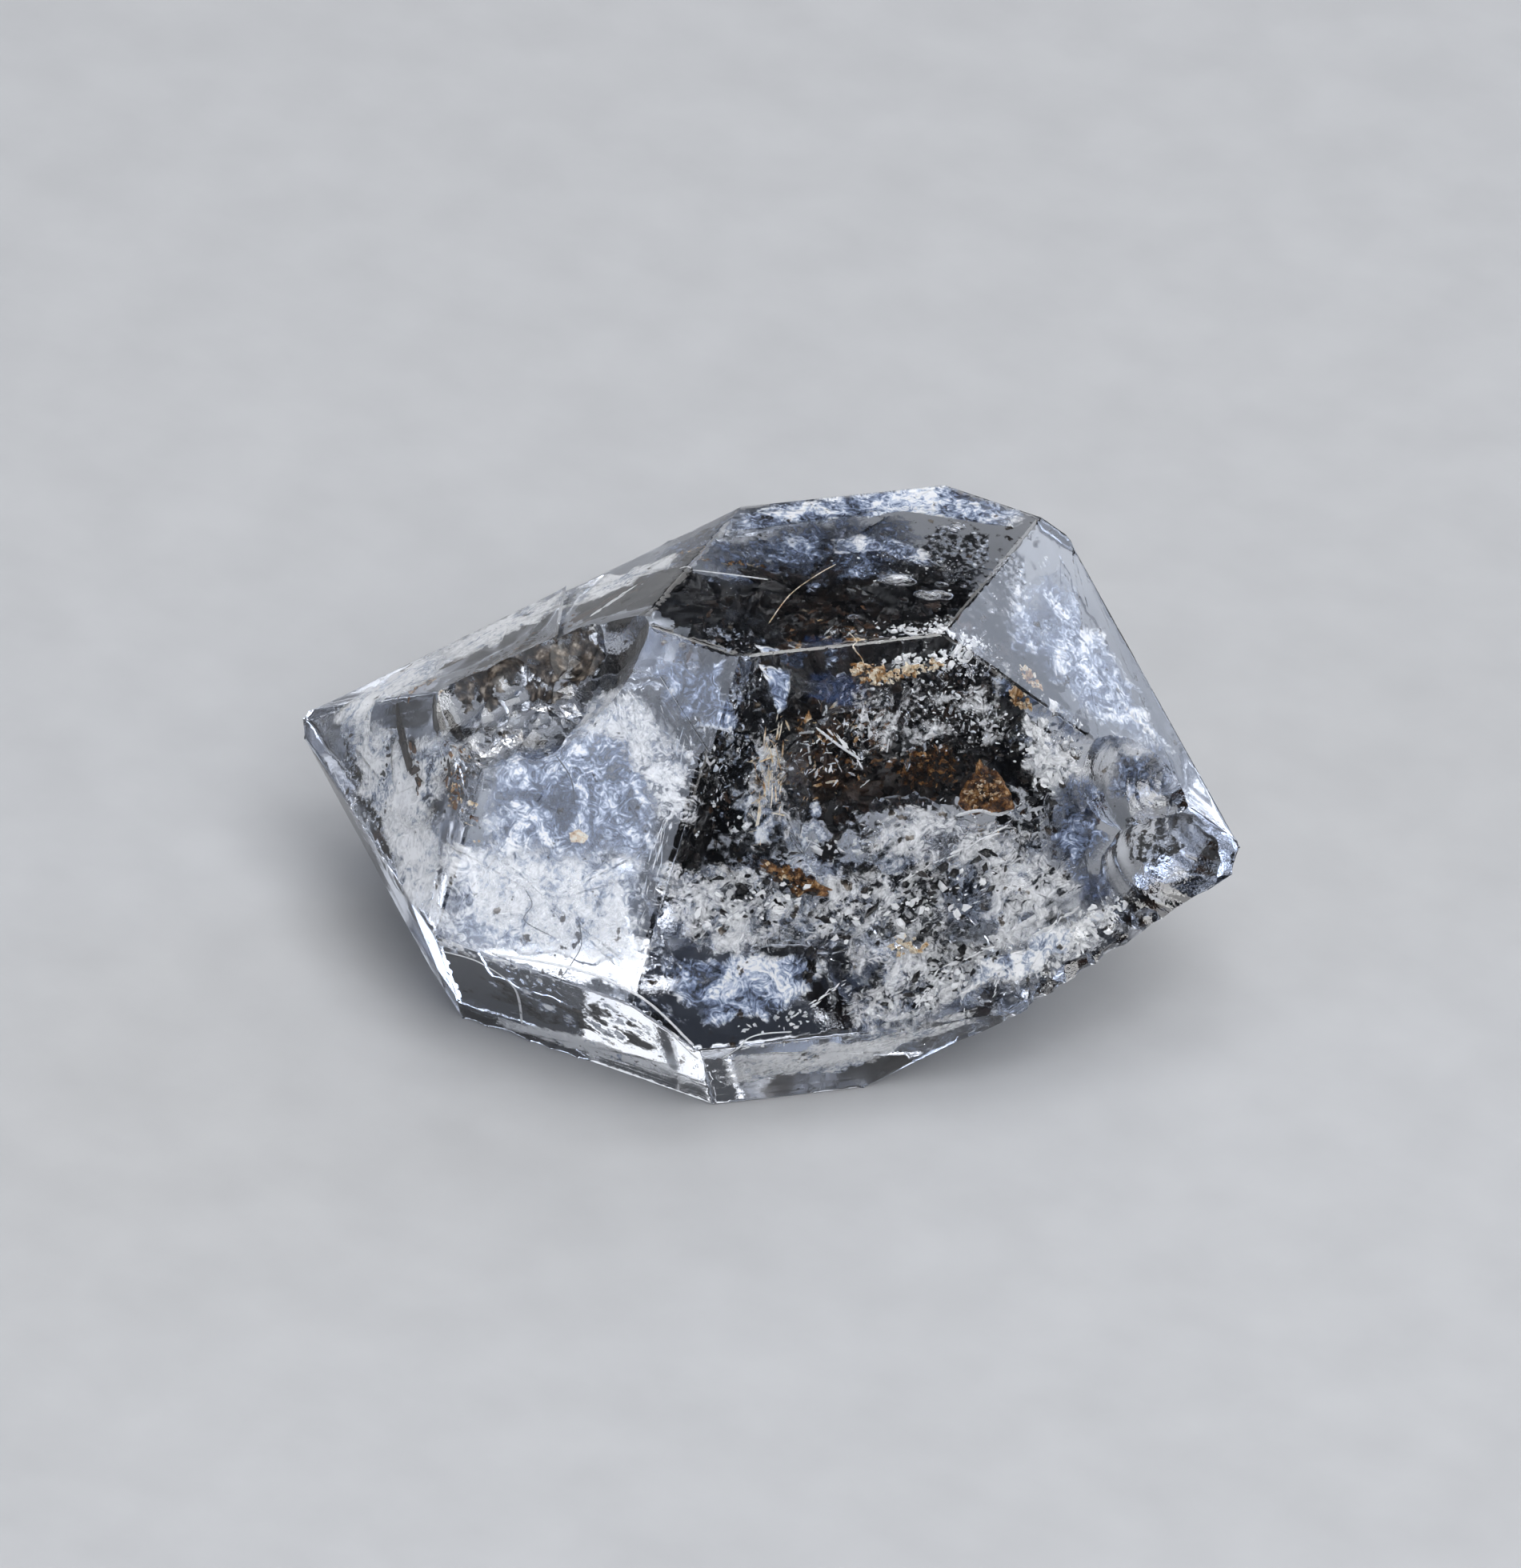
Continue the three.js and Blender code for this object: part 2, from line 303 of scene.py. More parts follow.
@dataclass
class PackedSolid:
    """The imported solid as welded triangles, sorted into flat growth faces and broken surface.

    Attributes:
        weld_mm: Points closer than this are one point.
        angle_deg: How far a triangle may lean from a growth face and still belong to it.
        flat_mm: How far apart two parallel layers have to be to count as two.
        plate_mm2: Least area of a flat plate. What is smaller counts as broken surface.
    """

    weld_mm: float = 0.0001
    angle_deg: float = 0.4
    flat_mm: float = 0.004
    plate_mm2: float = 0.02
    points: np.ndarray = field(init=False)
    triangles: np.ndarray = field(init=False)
    normals: np.ndarray = field(init=False)
    areas: np.ndarray = field(init=False)
    plate: np.ndarray = field(init=False)
    plate_face: list[tuple[Zone, Form]] = field(init=False)
    tree: BVHTree | None = None

    def __post_init__(self) -> None:
        """Reads the CAD node and sorts its triangles."""
        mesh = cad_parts[CAD_NODE].data
        corners = np.array([v.co for v in mesh.vertices]) / MM
        faces = np.array([p.vertices[:] for p in mesh.polygons])
        keys = np.round(corners / self.weld_mm).astype(np.int64)
        _, kept, back = np.unique(keys, axis=0, return_index=True, return_inverse=True)
        self.points = corners[kept]
        welded = back.ravel()[faces]
        first, second, third = welded.T
        self.triangles = welded[(first != second) & (second != third) & (first != third)]
        a, b, c = (self.points[self.triangles[:, i]] for i in range(3))
        cross = np.cross(b - a, c - a)
        doubled = np.linalg.norm(cross, axis=1)
        self.areas = doubled / 2
        self.normals = cross / np.maximum(doubled, 1e-12)[:, None]
        self.sort_faces((a + b + c) / 3)

    def sort_faces(self, centres: np.ndarray) -> None:
        """Finds the growth face that each triangle lies on, and joins flat neighbours into plates.

        Args:
            centres: The middle of each triangle, in millimetres.
        """
        names = [(zone, form) for zone in Zone for form in Form]
        face_of = np.full(len(self.triangles), -1)
        offset_of = np.zeros(len(self.triangles))
        for index, face in enumerate(names):
            normal = np.array(facet_normal(*face))
            near = self.normals @ normal > math.cos(math.radians(self.angle_deg))
            face_of[near] = index
            offset_of[near] = centres[near] @ normal
        self.join_plates(face_of, offset_of, names)

    def join_plates(self, face_of: np.ndarray, offset_of: np.ndarray, names: list[tuple[Zone, Form]]) -> None:
        """Numbers the connected flat plates, and leaves -1 on broken surface.

        Args:
            face_of: The growth face of each triangle, as its place in names, or -1.
            offset_of: Distance of each triangle's plane from the origin, in millimetres.
            names: The side and form of each growth face.
        """
        neighbours: dict[tuple[int, int], list[int]] = {}
        for t, corners in enumerate(self.triangles):
            for edge in edges_of(corners):
                neighbours.setdefault(edge, []).append(t)
        linked: list[list[int]] = [[] for _ in self.triangles]
        for one, other in neighbours.values():
            same = face_of[one] >= 0 and face_of[one] == face_of[other]
            if same and abs(offset_of[one] - offset_of[other]) < self.flat_mm:
                linked[one].append(other)
                linked[other].append(one)
        self.plate = np.full(len(self.triangles), -1)
        self.plate_face = []
        for group in regions(linked):
            face = face_of[group[0]]
            if face >= 0 and self.areas[group].sum() > self.plate_mm2:
                self.plate[group] = len(self.plate_face)
                self.plate_face.append(names[face])

    def surface(self) -> BVHTree:
        """Gives the surface as a search tree, in metres."""
        if self.tree is None:
            corners = [Vector(point) * MM for point in self.points]
            self.tree = BVHTree.FromPolygons(corners, self.triangles.tolist())
        return self.tree

    def depth_of(self, point: Vector) -> float:
        """Gives how far inside the crystal a point in metres lies, in millimetres, below 0 outside."""
        near, normal, _, distance = self.surface().find_nearest(point)
        return math.copysign(distance, (near - point).dot(normal)) / MM


@dataclass(frozen=True)
class Scar:
    """A place where the crystal is broken, and what its surface is like.

    Attributes:
        at_mm: Its middle.
        reach_mm: How far it reaches from there.
        pole_mm: Where the blow struck, which the ribs run round.
        rib_um: Height of its ribs.
        dirt: How much dirt sticks in it, from 0 to 1.
    """

    at_mm: tuple[float, float, float]
    reach_mm: float
    pole_mm: tuple[float, float, float] = (0.0, 0.0, 0.0)
    rib_um: float = 0.0
    dirt: float = 0.0

    def share(self, place: Vector) -> float:
        """Gives how much a place in millimetres belongs to the scar, from 0 to 1."""
        return smooth(self.reach_mm, 0.6 * self.reach_mm, (place - Vector(self.at_mm)).length)


def dirt_at(place: Vector) -> float:
    """Gives how much dirt sticks at a place in millimetres, from 0 to 1."""
    return max(scar.dirt * scar.share(place) for scar in SCARS)


SCARS = (
    Scar((5.76, 1.28, 4.78), 1.15, (6.0, 2.1, 4.5), rib_um=11.0),
    Scar((6.43, 1.12, 3.76), 1.25, (6.9, 1.8, 4.15), rib_um=9.0),
    Scar((-2.9, -1.7, 5.85), 1.05, dirt=1.0),
    Scar((-3.9, -1.75, 5.2), 0.95, dirt=0.9),
)
RIB_MM = 0.2

# how far the net's points stray, and how far they keep from its outer row, as shares of the grid
NET_JITTER = 0.18
NET_GAP = 0.45

# how many places are compared with an outline at a time
CHUNK = 1500


def inside_outline(places: np.ndarray, starts: np.ndarray, ends: np.ndarray) -> np.ndarray:
    """Tells which places in a plane lie inside an outline, by counting the edges to the right of each.

    Args:
        places: The places, as rows of x and y.
        starts: The outline's segment starts.
        ends: The outline's segment ends.

    Returns:
        One truth value per place.
    """
    run = ends - starts
    rise = np.where(np.abs(run[:, 1]) < 1e-12, 1e-12, run[:, 1])
    inside = np.zeros(len(places), bool)
    for i in range(0, len(places), CHUNK):
        x, y = places[i : i + CHUNK, :1], places[i : i + CHUNK, 1:]
        above = (starts[:, 1] > y) != (ends[:, 1] > y)
        crossing = starts[:, 0] + (y - starts[:, 1]) * run[:, 0] / rise
        inside[i : i + CHUNK] = (above & (x < crossing)).sum(1) % 2 == 1
    return inside


def distance_to(places: np.ndarray, starts: np.ndarray, ends: np.ndarray) -> np.ndarray:
    """Gives how far each place in a plane lies from the nearest of some segments.

    Args:
        places: The places, as rows of x and y.
        starts: The segments' starts.
        ends: The segments' ends.

    Returns:
        One distance per place, or a large number where there are no segments.
    """
    away = np.full(len(places), 1e3)
    if not len(starts):
        return away
    run = ends - starts
    square = np.maximum((run**2).sum(1), 1e-12)
    for i in range(0, len(places), CHUNK):
        to_place = places[i : i + CHUNK, None] - starts
        share = np.clip((to_place * run).sum(2) / square, 0, 1)
        away[i : i + CHUNK] = np.linalg.norm(to_place - share[..., None] * run, axis=2).min(1)
    return away


def axes_in_plane(normal: np.ndarray) -> tuple[np.ndarray, np.ndarray]:
    """Gives two unit vectors in a plane, so that they and the normal make a right-handed set."""
    guide = np.array((1.0, 0.0, 0.0)) if abs(normal[0]) < 0.9 else np.array((0.0, 1.0, 0.0))
    first = np.cross(guide, normal)
    first = first / np.linalg.norm(first)
    return first, np.cross(normal, first)


@dataclass
class CrystalBody:
    """The whole clear crystal: crisp faces with growth relief, rounded edges, and glassy broken hollows.

    Attributes:
        solid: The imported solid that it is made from.
        grid_mm: Distance between the points on a growth face.
        break_grid_mm: Longest edge on broken surface.
        edge_mm: How far in from an edge its rounding starts.
        edge_turn_deg: How far the rounding leans at a full edge.
        calm_mm: Width of the band beside broken surface where the growth relief fades out.
        hackle_um: Height of the fine ribs on broken surface.
        crease_deg: Edges that turn more than this are drawn sharp.
    """

    solid: PackedSolid
    grid_mm: float = 0.078
    break_grid_mm: float = 0.065
    edge_mm: float = 0.03
    edge_turn_deg: float = 20.0
    calm_mm: float = 0.25
    hackle_um: float = 3.0
    crease_deg: float = 34.0
    points: list[np.ndarray] = field(default_factory=list)
    plates: list[set[int]] = field(default_factory=list)
    calm: list[float] = field(default_factory=list)
    triangles: list[Face] = field(default_factory=list)
    chains: dict[tuple[int, int], list[int]] = field(default_factory=dict)

    def build(self) -> bpy.types.Object:
        """Builds the crystal.

        Returns:
            Its object, which stands for the CAD node.
        """
        for point in self.solid.points:
            self.add_point(point, set())
        for corners, plate in zip(self.solid.triangles, self.solid.plate):
            for corner in corners:
                self.plates[corner].add(int(plate))
        self.divide_edges()
        for plate in range(len(self.solid.plate_face)):
            self.fill_plate(plate)
        for t in np.flatnonzero(self.solid.plate < 0):
            self.fill_break(int(t))
        return self.make_object(self.shaped())

    def add_point(self, place: np.ndarray, plates: set[int], calm: float = 1.0) -> int:
        """Adds a point.

        Args:
            place: Where it is, in millimetres.
            plates: The plates that meet at it, with -1 for broken surface.
            calm: The share of the growth relief that it gets.

        Returns:
            Its number.
        """
        self.points.append(np.asarray(place, float))
        self.plates.append(plates)
        self.calm.append(calm)
        return len(self.points) - 1

    def divide_edges(self) -> None:
        """Divides every edge that isn't inside a flat plate, once for both of its sides."""
        sides: dict[tuple[int, int], list[int]] = {}
        for t, corners in enumerate(self.solid.triangles):
            for edge in edges_of(corners):
                sides.setdefault(edge, []).append(int(self.solid.plate[t]))
        for edge, plates in sides.items():
            if plates[0] == plates[1] >= 0:
                continue
            a, b = (self.points[i] for i in edge)
            step = self.break_grid_mm if min(plates) < 0 else self.grid_mm
            pieces = max(1, math.ceil(np.linalg.norm(b - a) / step))
            inner = [self.add_point(a + (b - a) * k / pieces, set(plates)) for k in range(1, pieces)]
            self.chains[edge] = [edge[0], *inner, edge[1]]

    def segments(self, start: int, end: int) -> list[tuple[int, int]]:
        """Gives the short segments of an edge, in order from start to end."""
        chain = self.chains[(min(start, end), max(start, end))]
        chain = chain if start < end else chain[::-1]
        return list(zip(chain[:-1], chain[1:]))

    def fill_plate(self, plate: int) -> None:
        """Fills one flat plate with an even net of triangles, with one row of points close to its outline."""
        directed: set[tuple[int, int]] = set()
        for t in np.flatnonzero(self.solid.plate == plate):
            a, b, c = (int(i) for i in self.solid.triangles[t])
            directed |= {(a, b), (b, c), (c, a)}
        rim = sorted(step for step in directed if (step[1], step[0]) not in directed)
        short = [pair for step in rim for pair in self.segments(*step)]
        numbers = sorted({i for pair in short for i in pair})
        at = {i: k for k, i in enumerate(numbers)}
        base = self.points[numbers[0]]
        across, along = axes_in_plane(np.array(facet_normal(*self.solid.plate_face[plate])))
        shifts = [self.points[i] - base for i in numbers]
        flat = np.array([(shift @ across, shift @ along) for shift in shifts])
        starts, ends = (flat[[at[pair[k]] for pair in short]] for k in (0, 1))
        beside_break = np.array([all(-1 in self.plates[i] for i in pair) for pair in short])
        net = self.net(starts, ends, self.grid_mm, plate)
        calm = distance_to(net, starts[beside_break], ends[beside_break]) / self.calm_mm
        inner = [
            self.add_point(base + x * across + y * along, {plate}, smooth(0, 1, share))
            for (x, y), share in zip(net, calm)
        ]
        for i, place in zip(numbers, flat):
            away = distance_to(place[None], starts[beside_break], ends[beside_break])[0]
            self.calm[i] = min(self.calm[i], smooth(0, 1, away / self.calm_mm))
        self.join(np.vstack([flat, net]), [(at[a], at[b]) for a, b in short], numbers + inner)

    def net(self, starts: np.ndarray, ends: np.ndarray, grid: float, seed: int) -> np.ndarray:
        """Lays a jittered triangular net inside an outline, with one row close to the outline.

        Args:
            starts: The outline's segment starts, running round with the inside on the left.
            ends: The outline's segment ends.
            grid: Distance between the points.
            seed: Seed of the jitter.

        Returns:
            Rows of x and y.
        """
        draw = np.random.default_rng(seed)
        low, high = starts.min(0), starts.max(0)
        columns, rows = np.arange(low[0], high[0], grid), np.arange(low[1], high[1], grid * math.sqrt(3) / 2)
        x, y = np.meshgrid(columns, rows)
        x[1::2] += grid / 2
        places = np.column_stack([x.ravel(), y.ravel()])
        places += draw.uniform(-NET_JITTER, NET_JITTER, places.shape) * grid
        places = places[inside_outline(places, starts, ends)]
        places = places[distance_to(places, starts, ends) > self.edge_mm + NET_GAP * grid]
        run = ends - starts
        length = np.maximum(np.linalg.norm(run, axis=1), 1e-9)[:, None]
        row = (starts + ends) / 2 + np.column_stack([-run[:, 1], run[:, 0]]) / length * self.edge_mm
        row = row[inside_outline(row, starts, ends)]
        row = row[distance_to(row, starts, ends) > 0.85 * self.edge_mm]
        return np.vstack([row, places])

    def join(self, places: np.ndarray, edges: list[tuple[int, int]], numbers: list[int]) -> None:
        """Joins points in a plane into triangles, and keeps those inside the outline.

        Args:
            places: The points, in the plane.
            edges: The outline's segments, as rows of places, with the inside on the left.
            numbers: The body's number for each point.
        """
        made = geometry.delaunay_2d_cdt([Vector(p) for p in places], edges, [], 0, 1e-9, True)
        faces, origins = made[2], made[3]
        made_as = {i: k for k, group in enumerate(origins) for i in group}
        outline = {(made_as[a], made_as[b]) for a, b in edges}
        owner = {(face[i - 1], face[i]): f for f, face in enumerate(faces) for i in range(3)}
        linked: list[list[int]] = [[] for _ in faces]
        inward = [0] * len(faces)
        for f, face in enumerate(faces):
            for i in range(3):
                a, b = face[i - 1], face[i]
                left, right = (a, b) in outline, (b, a) in outline
                inward[f] += left - right
                if (b, a) in owner and not (left or right):
                    linked[f].append(owner[(b, a)])
        for region in regions(linked):
            if sum(inward[f] for f in region) > 0:
                self.triangles += [tuple(numbers[origins[i][0]] for i in faces[f]) for f in region]

    def fill_break(self, t: int) -> None:
        """Fills one triangle of broken surface, whose edges may be divided."""
        a, b, c = (int(i) for i in self.solid.triangles[t])
        loop = [pair[0] for step in ((a, b), (b, c), (c, a)) for pair in self.segments(*step)]
        if len(loop) == 3:
            self.triangles.append(tuple(loop))
            return
        across, along = axes_in_plane(self.solid.normals[t])
        base = self.points[a]
        shifts = [self.points[i] - base for i in loop]
        flat = np.array([(shift @ across, shift @ along) for shift in shifts])
        numbers = list(loop)
        if self.solid.areas[t] > 2 * self.break_grid_mm**2:
            net = self.net(flat, np.roll(flat, -1, axis=0), self.break_grid_mm, t)
            numbers += [self.add_point(base + x * across + y * along, {-1}) for x, y in net]
            flat = np.vstack([flat, net])
        self.join(flat, [(k, (k + 1) % len(loop)) for k in range(len(loop))], numbers)

    def shaped(self) -> np.ndarray:
        """Gives the points with the growth relief, the edges' rounding and the hackle, in millimetres."""
        moved = np.array(self.points)
        normals = [np.array(facet_normal(*face)) for face in self.solid.plate_face]
        drop = self.edge_mm * math.tan(math.radians(self.edge_turn_deg))
        for i, plates in enumerate(self.plates):
            flats = sorted(plates - {-1})
            place = Vector(self.points[i])
            if not flats:
                moved[i] += self.hackle(place)
                continue
            rounded = drop if len({tuple(normals[p]) for p in flats}) > 1 and -1 not in plates else 0.0
            growth = [growth_depth(place, *self.solid.plate_face[p]) for p in flats]
            depths = [rounded + self.calm[i] * depth / 1000 for depth in growth]
            rows = np.array([normals[p] for p in flats])
            moved[i] -= np.linalg.lstsq(rows, np.array(depths), rcond=0.05)[0]
        return moved

    def hackle(self, place: Vector) -> np.ndarray:
        """Gives the small uneven shift of a point on broken surface, in millimetres."""
        shift = [ripple(place, 0.16, 31 + 7 * k) + 0.5 * ripple(place, 0.07, 57 + 7 * k) for k in range(3)]
        moved = np.array(shift) * self.hackle_um / 1000
        for scar in SCARS:
            away = place - Vector(scar.pole_mm)
            wave = math.sin(math.tau * (away.length + 0.1 * ripple(place, 0.6)) / RIB_MM)
            moved += np.array(away.normalized()) * (wave * scar.share(place) * scar.rib_um / 1000)
        return moved

    def make_object(self, moved: np.ndarray) -> bpy.types.Object:
        """Makes the object, with smooth shading between sharp edges and two attributes for its finish.

        Args:
            moved: The shaped points, in millimetres.

        Returns:
            The object.
        """
        mesh = bpy.data.meshes.new("clear_quartz")
        mesh.from_pydata([Vector(p) * MM for p in moved], [], self.triangles)
        mesh.validate()
        mesh.shade_smooth()
        mesh.set_sharp_from_angle(angle=math.radians(self.crease_deg))
        hazes = [relief_of(*face).haze for face in self.solid.plate_face]
        haze = [max((hazes[p] for p in plates if p >= 0), default=0.0) for plates in self.plates]
        dirt = [dirt_at(Vector(p)) if -1 in plates else 0.0 for p, plates in zip(moved, self.plates)]
        write_values(mesh, "haze", haze)
        write_values(mesh, "broken", [float(-1 in plates) for plates in self.plates])
        write_values(mesh, "dirt", dirt)
        return show("clear_quartz", mesh)


def growth_depth(place: Vector, zone: Zone, form: Form) -> float:
    """Gives how deep the growth relief is cut at a place on a face.

    Args:
        place: Where, in millimetres.
        zone: The side that the face lies on.
        form: The face's place along the crystal.

    Returns:
        The depth below the flat face, in micrometres.
    """
    style = relief_of(zone, form)
    seed = 3.7 * list(Zone).index(zone) + 19.1 * form.value
    swell = 0.5 + 0.4 * ripple(place, style.wave_mm, seed)
    swell += 0.12 * ripple(place, style.wave_mm / 3.1, seed + 5)
    slope = 2.2 + 1.8 * ripple(place, style.step_mm * 2.6, seed + 11)
    slope += 0.4 * ripple(place, style.step_mm, seed)
    etched = 1 + ripple(place, 0.17, seed)
    depth = style.wave_um * swell + style.step_um * terraces(slope) + style.etch_um * etched
    if style.stria_um:
        wander = place.x + 0.12 * ripple(place, 2.5, seed + 3)
        fine = noise.noise(Vector((wander / style.stria_mm, seed, 0.12 * place.y)))
        coarse = noise.noise(Vector((wander / (4 * style.stria_mm), seed, 0.08 * place.y)))
        where = smooth(-0.25, 0.35, ripple(place, 1.9, seed + 17))
        depth += style.stria_um * where * (1.2 + 0.7 * fine + 0.8 * coarse)
    return max(0.0, depth)


@dataclass(frozen=True)
class ClearQuartz:
    """Rock crystal: clear, faintly blue, bright in its reflections, with thin frost on some growth faces.

    Attributes:
        tint: Colour that deep light takes on.
        density_per_m: How strongly the tint is absorbed.
        polish: Roughness of a clean growth face.
        frost: Roughness that full haze adds.
        fracture: Roughness that broken surface adds.
        frost_mm: Size of the frost's patches.
        grain_mm: Size of the etched grain.
        grain_um: Height of the etched grain.
        dirt_mm: Size of the patches of dirt in a hollow.
        stain_mm: Size of the shades of brown in the dirt.
    """

    tint: str = "#CBD8EE"
    density_per_m: float = 45.0
    polish: float = 0.0
    frost: float = 0.16
    fracture: float = 0.04
    frost_mm: float = 0.9
    grain_mm: float = 0.05
    grain_um: float = 12.0
    dirt_mm: float = 0.3
    stain_mm: float = 0.13

    def make(self) -> bpy.types.Material:
        """Makes the material."""
        shader = Shader("rock_crystal_quartz")
        add = shader.add
        place = add(Kind.PLACE)
        haze, broken, dirt = (add(Kind.ATTRIBUTE, name) for name in ("haze", "broken", "dirt"))
        patches = add(Kind.NOISE, Vector=place, Scale=per_metre(self.frost_mm), Detail=4.0, Roughness=0.6)
        patchy = add(Kind.RAMP, stops=((0.3, 0.15), (0.72, 1.0)), Fac=patches)
        frosted = add(Kind.PRODUCT, i0=haze, i1=patchy)
        frost = add(Kind.PRODUCT_PLUS, i0=frosted, i1=self.frost, i2=self.polish)
        rough = add(Kind.PRODUCT_PLUS, i0=broken, i1=self.fracture, i2=frost)
        grain = add(Kind.NOISE, Vector=place, Scale=per_metre(self.grain_mm), Detail=2.0)
        scratched = add(Kind.PRODUCT_PLUS, i0=broken, i1=0.6, i2=0.06)
        bump = add(Kind.BUMP, Height=grain, Strength=scratched, Distance=self.grain_um * MM / 1000)
        # dirt sticks in the hollows in dark brown crusts, which hide the quartz
        crust = add(Kind.NOISE, Vector=place, Scale=per_metre(self.dirt_mm), Detail=7.0, Roughness=0.6)
        spread = add(Kind.PRODUCT_PLUS, i0=dirt, i1=0.22, i2=crust)
        cover = add(Kind.RAMP, stops=((0.64, 0.0), (0.78, 1.0)), Fac=spread)
        stained = add(Kind.RAMP, stops=((0.63, 0.0), (0.66, 1.0)), Fac=spread)
        stain = add(Kind.NOISE, Vector=place, Scale=per_metre(self.stain_mm), Detail=5.0)
        browns = ((0.36, "#0F0D0B"), (0.48, "#231D18"), (0.58, "#4A4036"), (0.68, "#857D73"))
        brown = add(Kind.RAMP, stops=browns, Fac=stain)
        colour = add(Kind.BLEND, i0=stained, i6=linear(CLEAR), i7=brown)
        clear = add(Kind.PRODUCT_PLUS, i0=cover, i1=-0.75, i2=1.0)
        matt = add(Kind.PRODUCT_PLUS, i0=cover, i1=0.3, i2=rough)
        dull = add(Kind.PRODUCT_PLUS, i0=dirt, i1=0.22, i2=matt)
        glass = {"IOR": QUARTZ_IOR, "Transmission_Weight": clear}
        surface = add(Kind.SURFACE, Base_Color=colour, Roughness=dull, Normal=bump, **glass)
        depth = add(Kind.ABSORPTION, Color=linear(self.tint), Density=self.density_per_m)
        add(Kind.OUTPUT, Surface=surface, Volume=depth)
        return shader.material


@dataclass(frozen=True)
class Viewpoint:
    """Where the crystal is looked at from.

    Attributes:
        azimuth_deg: Turn round the crystal; 0 looks along +Y.
        elevation_deg: Height above the horizon.
        roll_deg: Turn of the picture, clockwise.
        distance_mm: Distance from the point that is looked at.
        aim_mm: That point, in the picture's middle.
        frame_mm: Height of the picture there.
        sensor_mm: Length of the sensor's long side.
    """

    azimuth_deg: float = 21.51
    elevation_deg: float = 35.22
    roll_deg: float = 5.96
    distance_mm: float = 300.0
    aim_mm: tuple[float, float, float] = (0.487, -1.096, 4.292)
    frame_mm: float = 24.5
    sensor_mm: float = 36.0

    def axes(self) -> tuple[Vector, Vector, Vector]:
        """Gives the picture's right and up, and the direction back to the viewer."""
        turn = math.radians(self.azimuth_deg)
        back = direction(self.azimuth_deg, self.elevation_deg)
        level = Vector((math.cos(turn), math.sin(turn), 0))
        roll = Quaternion(back, math.radians(self.roll_deg))
        return roll @ level, roll @ back.cross(level), back

    def eye(self) -> Vector:
        """Gives the viewer's place, in metres."""
        return (Vector(self.aim_mm) + self.axes()[2] * self.distance_mm) * MM

    def make_camera(self) -> bpy.types.Object:
        """Makes the camera."""
        right, up, back = self.axes()
        data = bpy.data.cameras.new("camera")
        data.sensor_width = self.sensor_mm
        data.lens = self.sensor_mm * self.distance_mm / self.frame_mm
        data.clip_start, data.clip_end = 10 * MM, 2000 * MM
        camera = show("camera", data)
        camera.matrix_world = Matrix.Translation(self.eye()) @ Matrix((right, up, back)).transposed().to_4x4()
        return camera


@dataclass(frozen=True)
class Window:
    """The face that some lines of sight enter through: a point on it and its outward normal, in metres."""

    point: Vector
    normal: Vector


@dataclass(frozen=True)
class Spot:
    """A place inside the crystal, found along a line of sight.

    Attributes:
        at: Where it appears, right of and above the picture's middle, in millimetres.
        depth: How deep it lies in the quartz, along the line of sight, in millimetres.
        turn: Turn of its first axis from the picture's right towards its top, in degrees.
        lean: How far it is tipped about its first axis, in degrees.
        swing: How far it is swung about its second axis, in degrees.
    """

    at: tuple[float, float]
    depth: float
    turn: float = 0.0
    lean: float = 0.0
    swing: float = 0.0


@dataclass(frozen=True)
class Sight:
    """Follows lines of sight into the crystal, where they bend."""

    view: Viewpoint
    solid: PackedSolid

    def ray(self, right_mm: float, up_mm: float) -> tuple[Vector, Vector]:
        """Gives the eye and the direction of a line of sight, outside the crystal."""
        right, up, _ = self.view.axes()
        eye = self.view.eye()
        return eye, ((Vector(self.view.aim_mm) + right * right_mm + up * up_mm) * MM - eye).normalized()

    def window(self, right_mm: float, up_mm: float) -> Window:
        """Gives the face that a line of sight meets first."""
        hit, normal, _, _ = self.solid.surface().ray_cast(*self.ray(right_mm, up_mm))
        if hit is None:
            raise ValueError(f"no crystal at {right_mm}, {up_mm} mm")
        return Window(hit, normal)

    def enter(self, right_mm: float, up_mm: float, window: Window) -> tuple[Vector, Vector]:
        """Follows a line of sight through a window.

        Args:
            right_mm: How far right of the picture's middle the line of sight lies.
            up_mm: How far above it.
            window: The face that it enters through.

        Returns:
            Where it enters, in metres, and its direction inside.
        """
        eye, ahead = self.ray(right_mm, up_mm)
        lean = -ahead.dot(window.normal)
        hit = eye + ahead * ((eye - window.point).dot(window.normal) / lean)
        ratio = 1 / QUARTZ_IOR
        inside = math.sqrt(1 - ratio**2 * (1 - lean**2))
        return hit, (ahead * ratio + window.normal * (ratio * lean - inside)).normalized()

    def axes_at(self, spot: Spot) -> Matrix:
        """Gives a matrix in metres whose columns are a spot's three axes and its place.

        The first axis runs along, the second across and down, and the third away from the viewer.
        """
        hit, ahead = self.enter(*spot.at, self.window(*spot.at))
        right, up, _ = self.view.axes()
        turn = math.radians(spot.turn)
        along = right * math.cos(turn) + up * math.sin(turn)
        along = (along - ahead * along.dot(ahead)).normalized()
        axes = Matrix((along, ahead.cross(along), ahead)).transposed().to_4x4()
        swing = Matrix.Rotation(math.radians(spot.swing), 4, "Y")
        lean = Matrix.Rotation(math.radians(spot.lean), 4, "X")
        return Matrix.Translation(hit + ahead * spot.depth * MM) @ axes @ (swing @ lean)


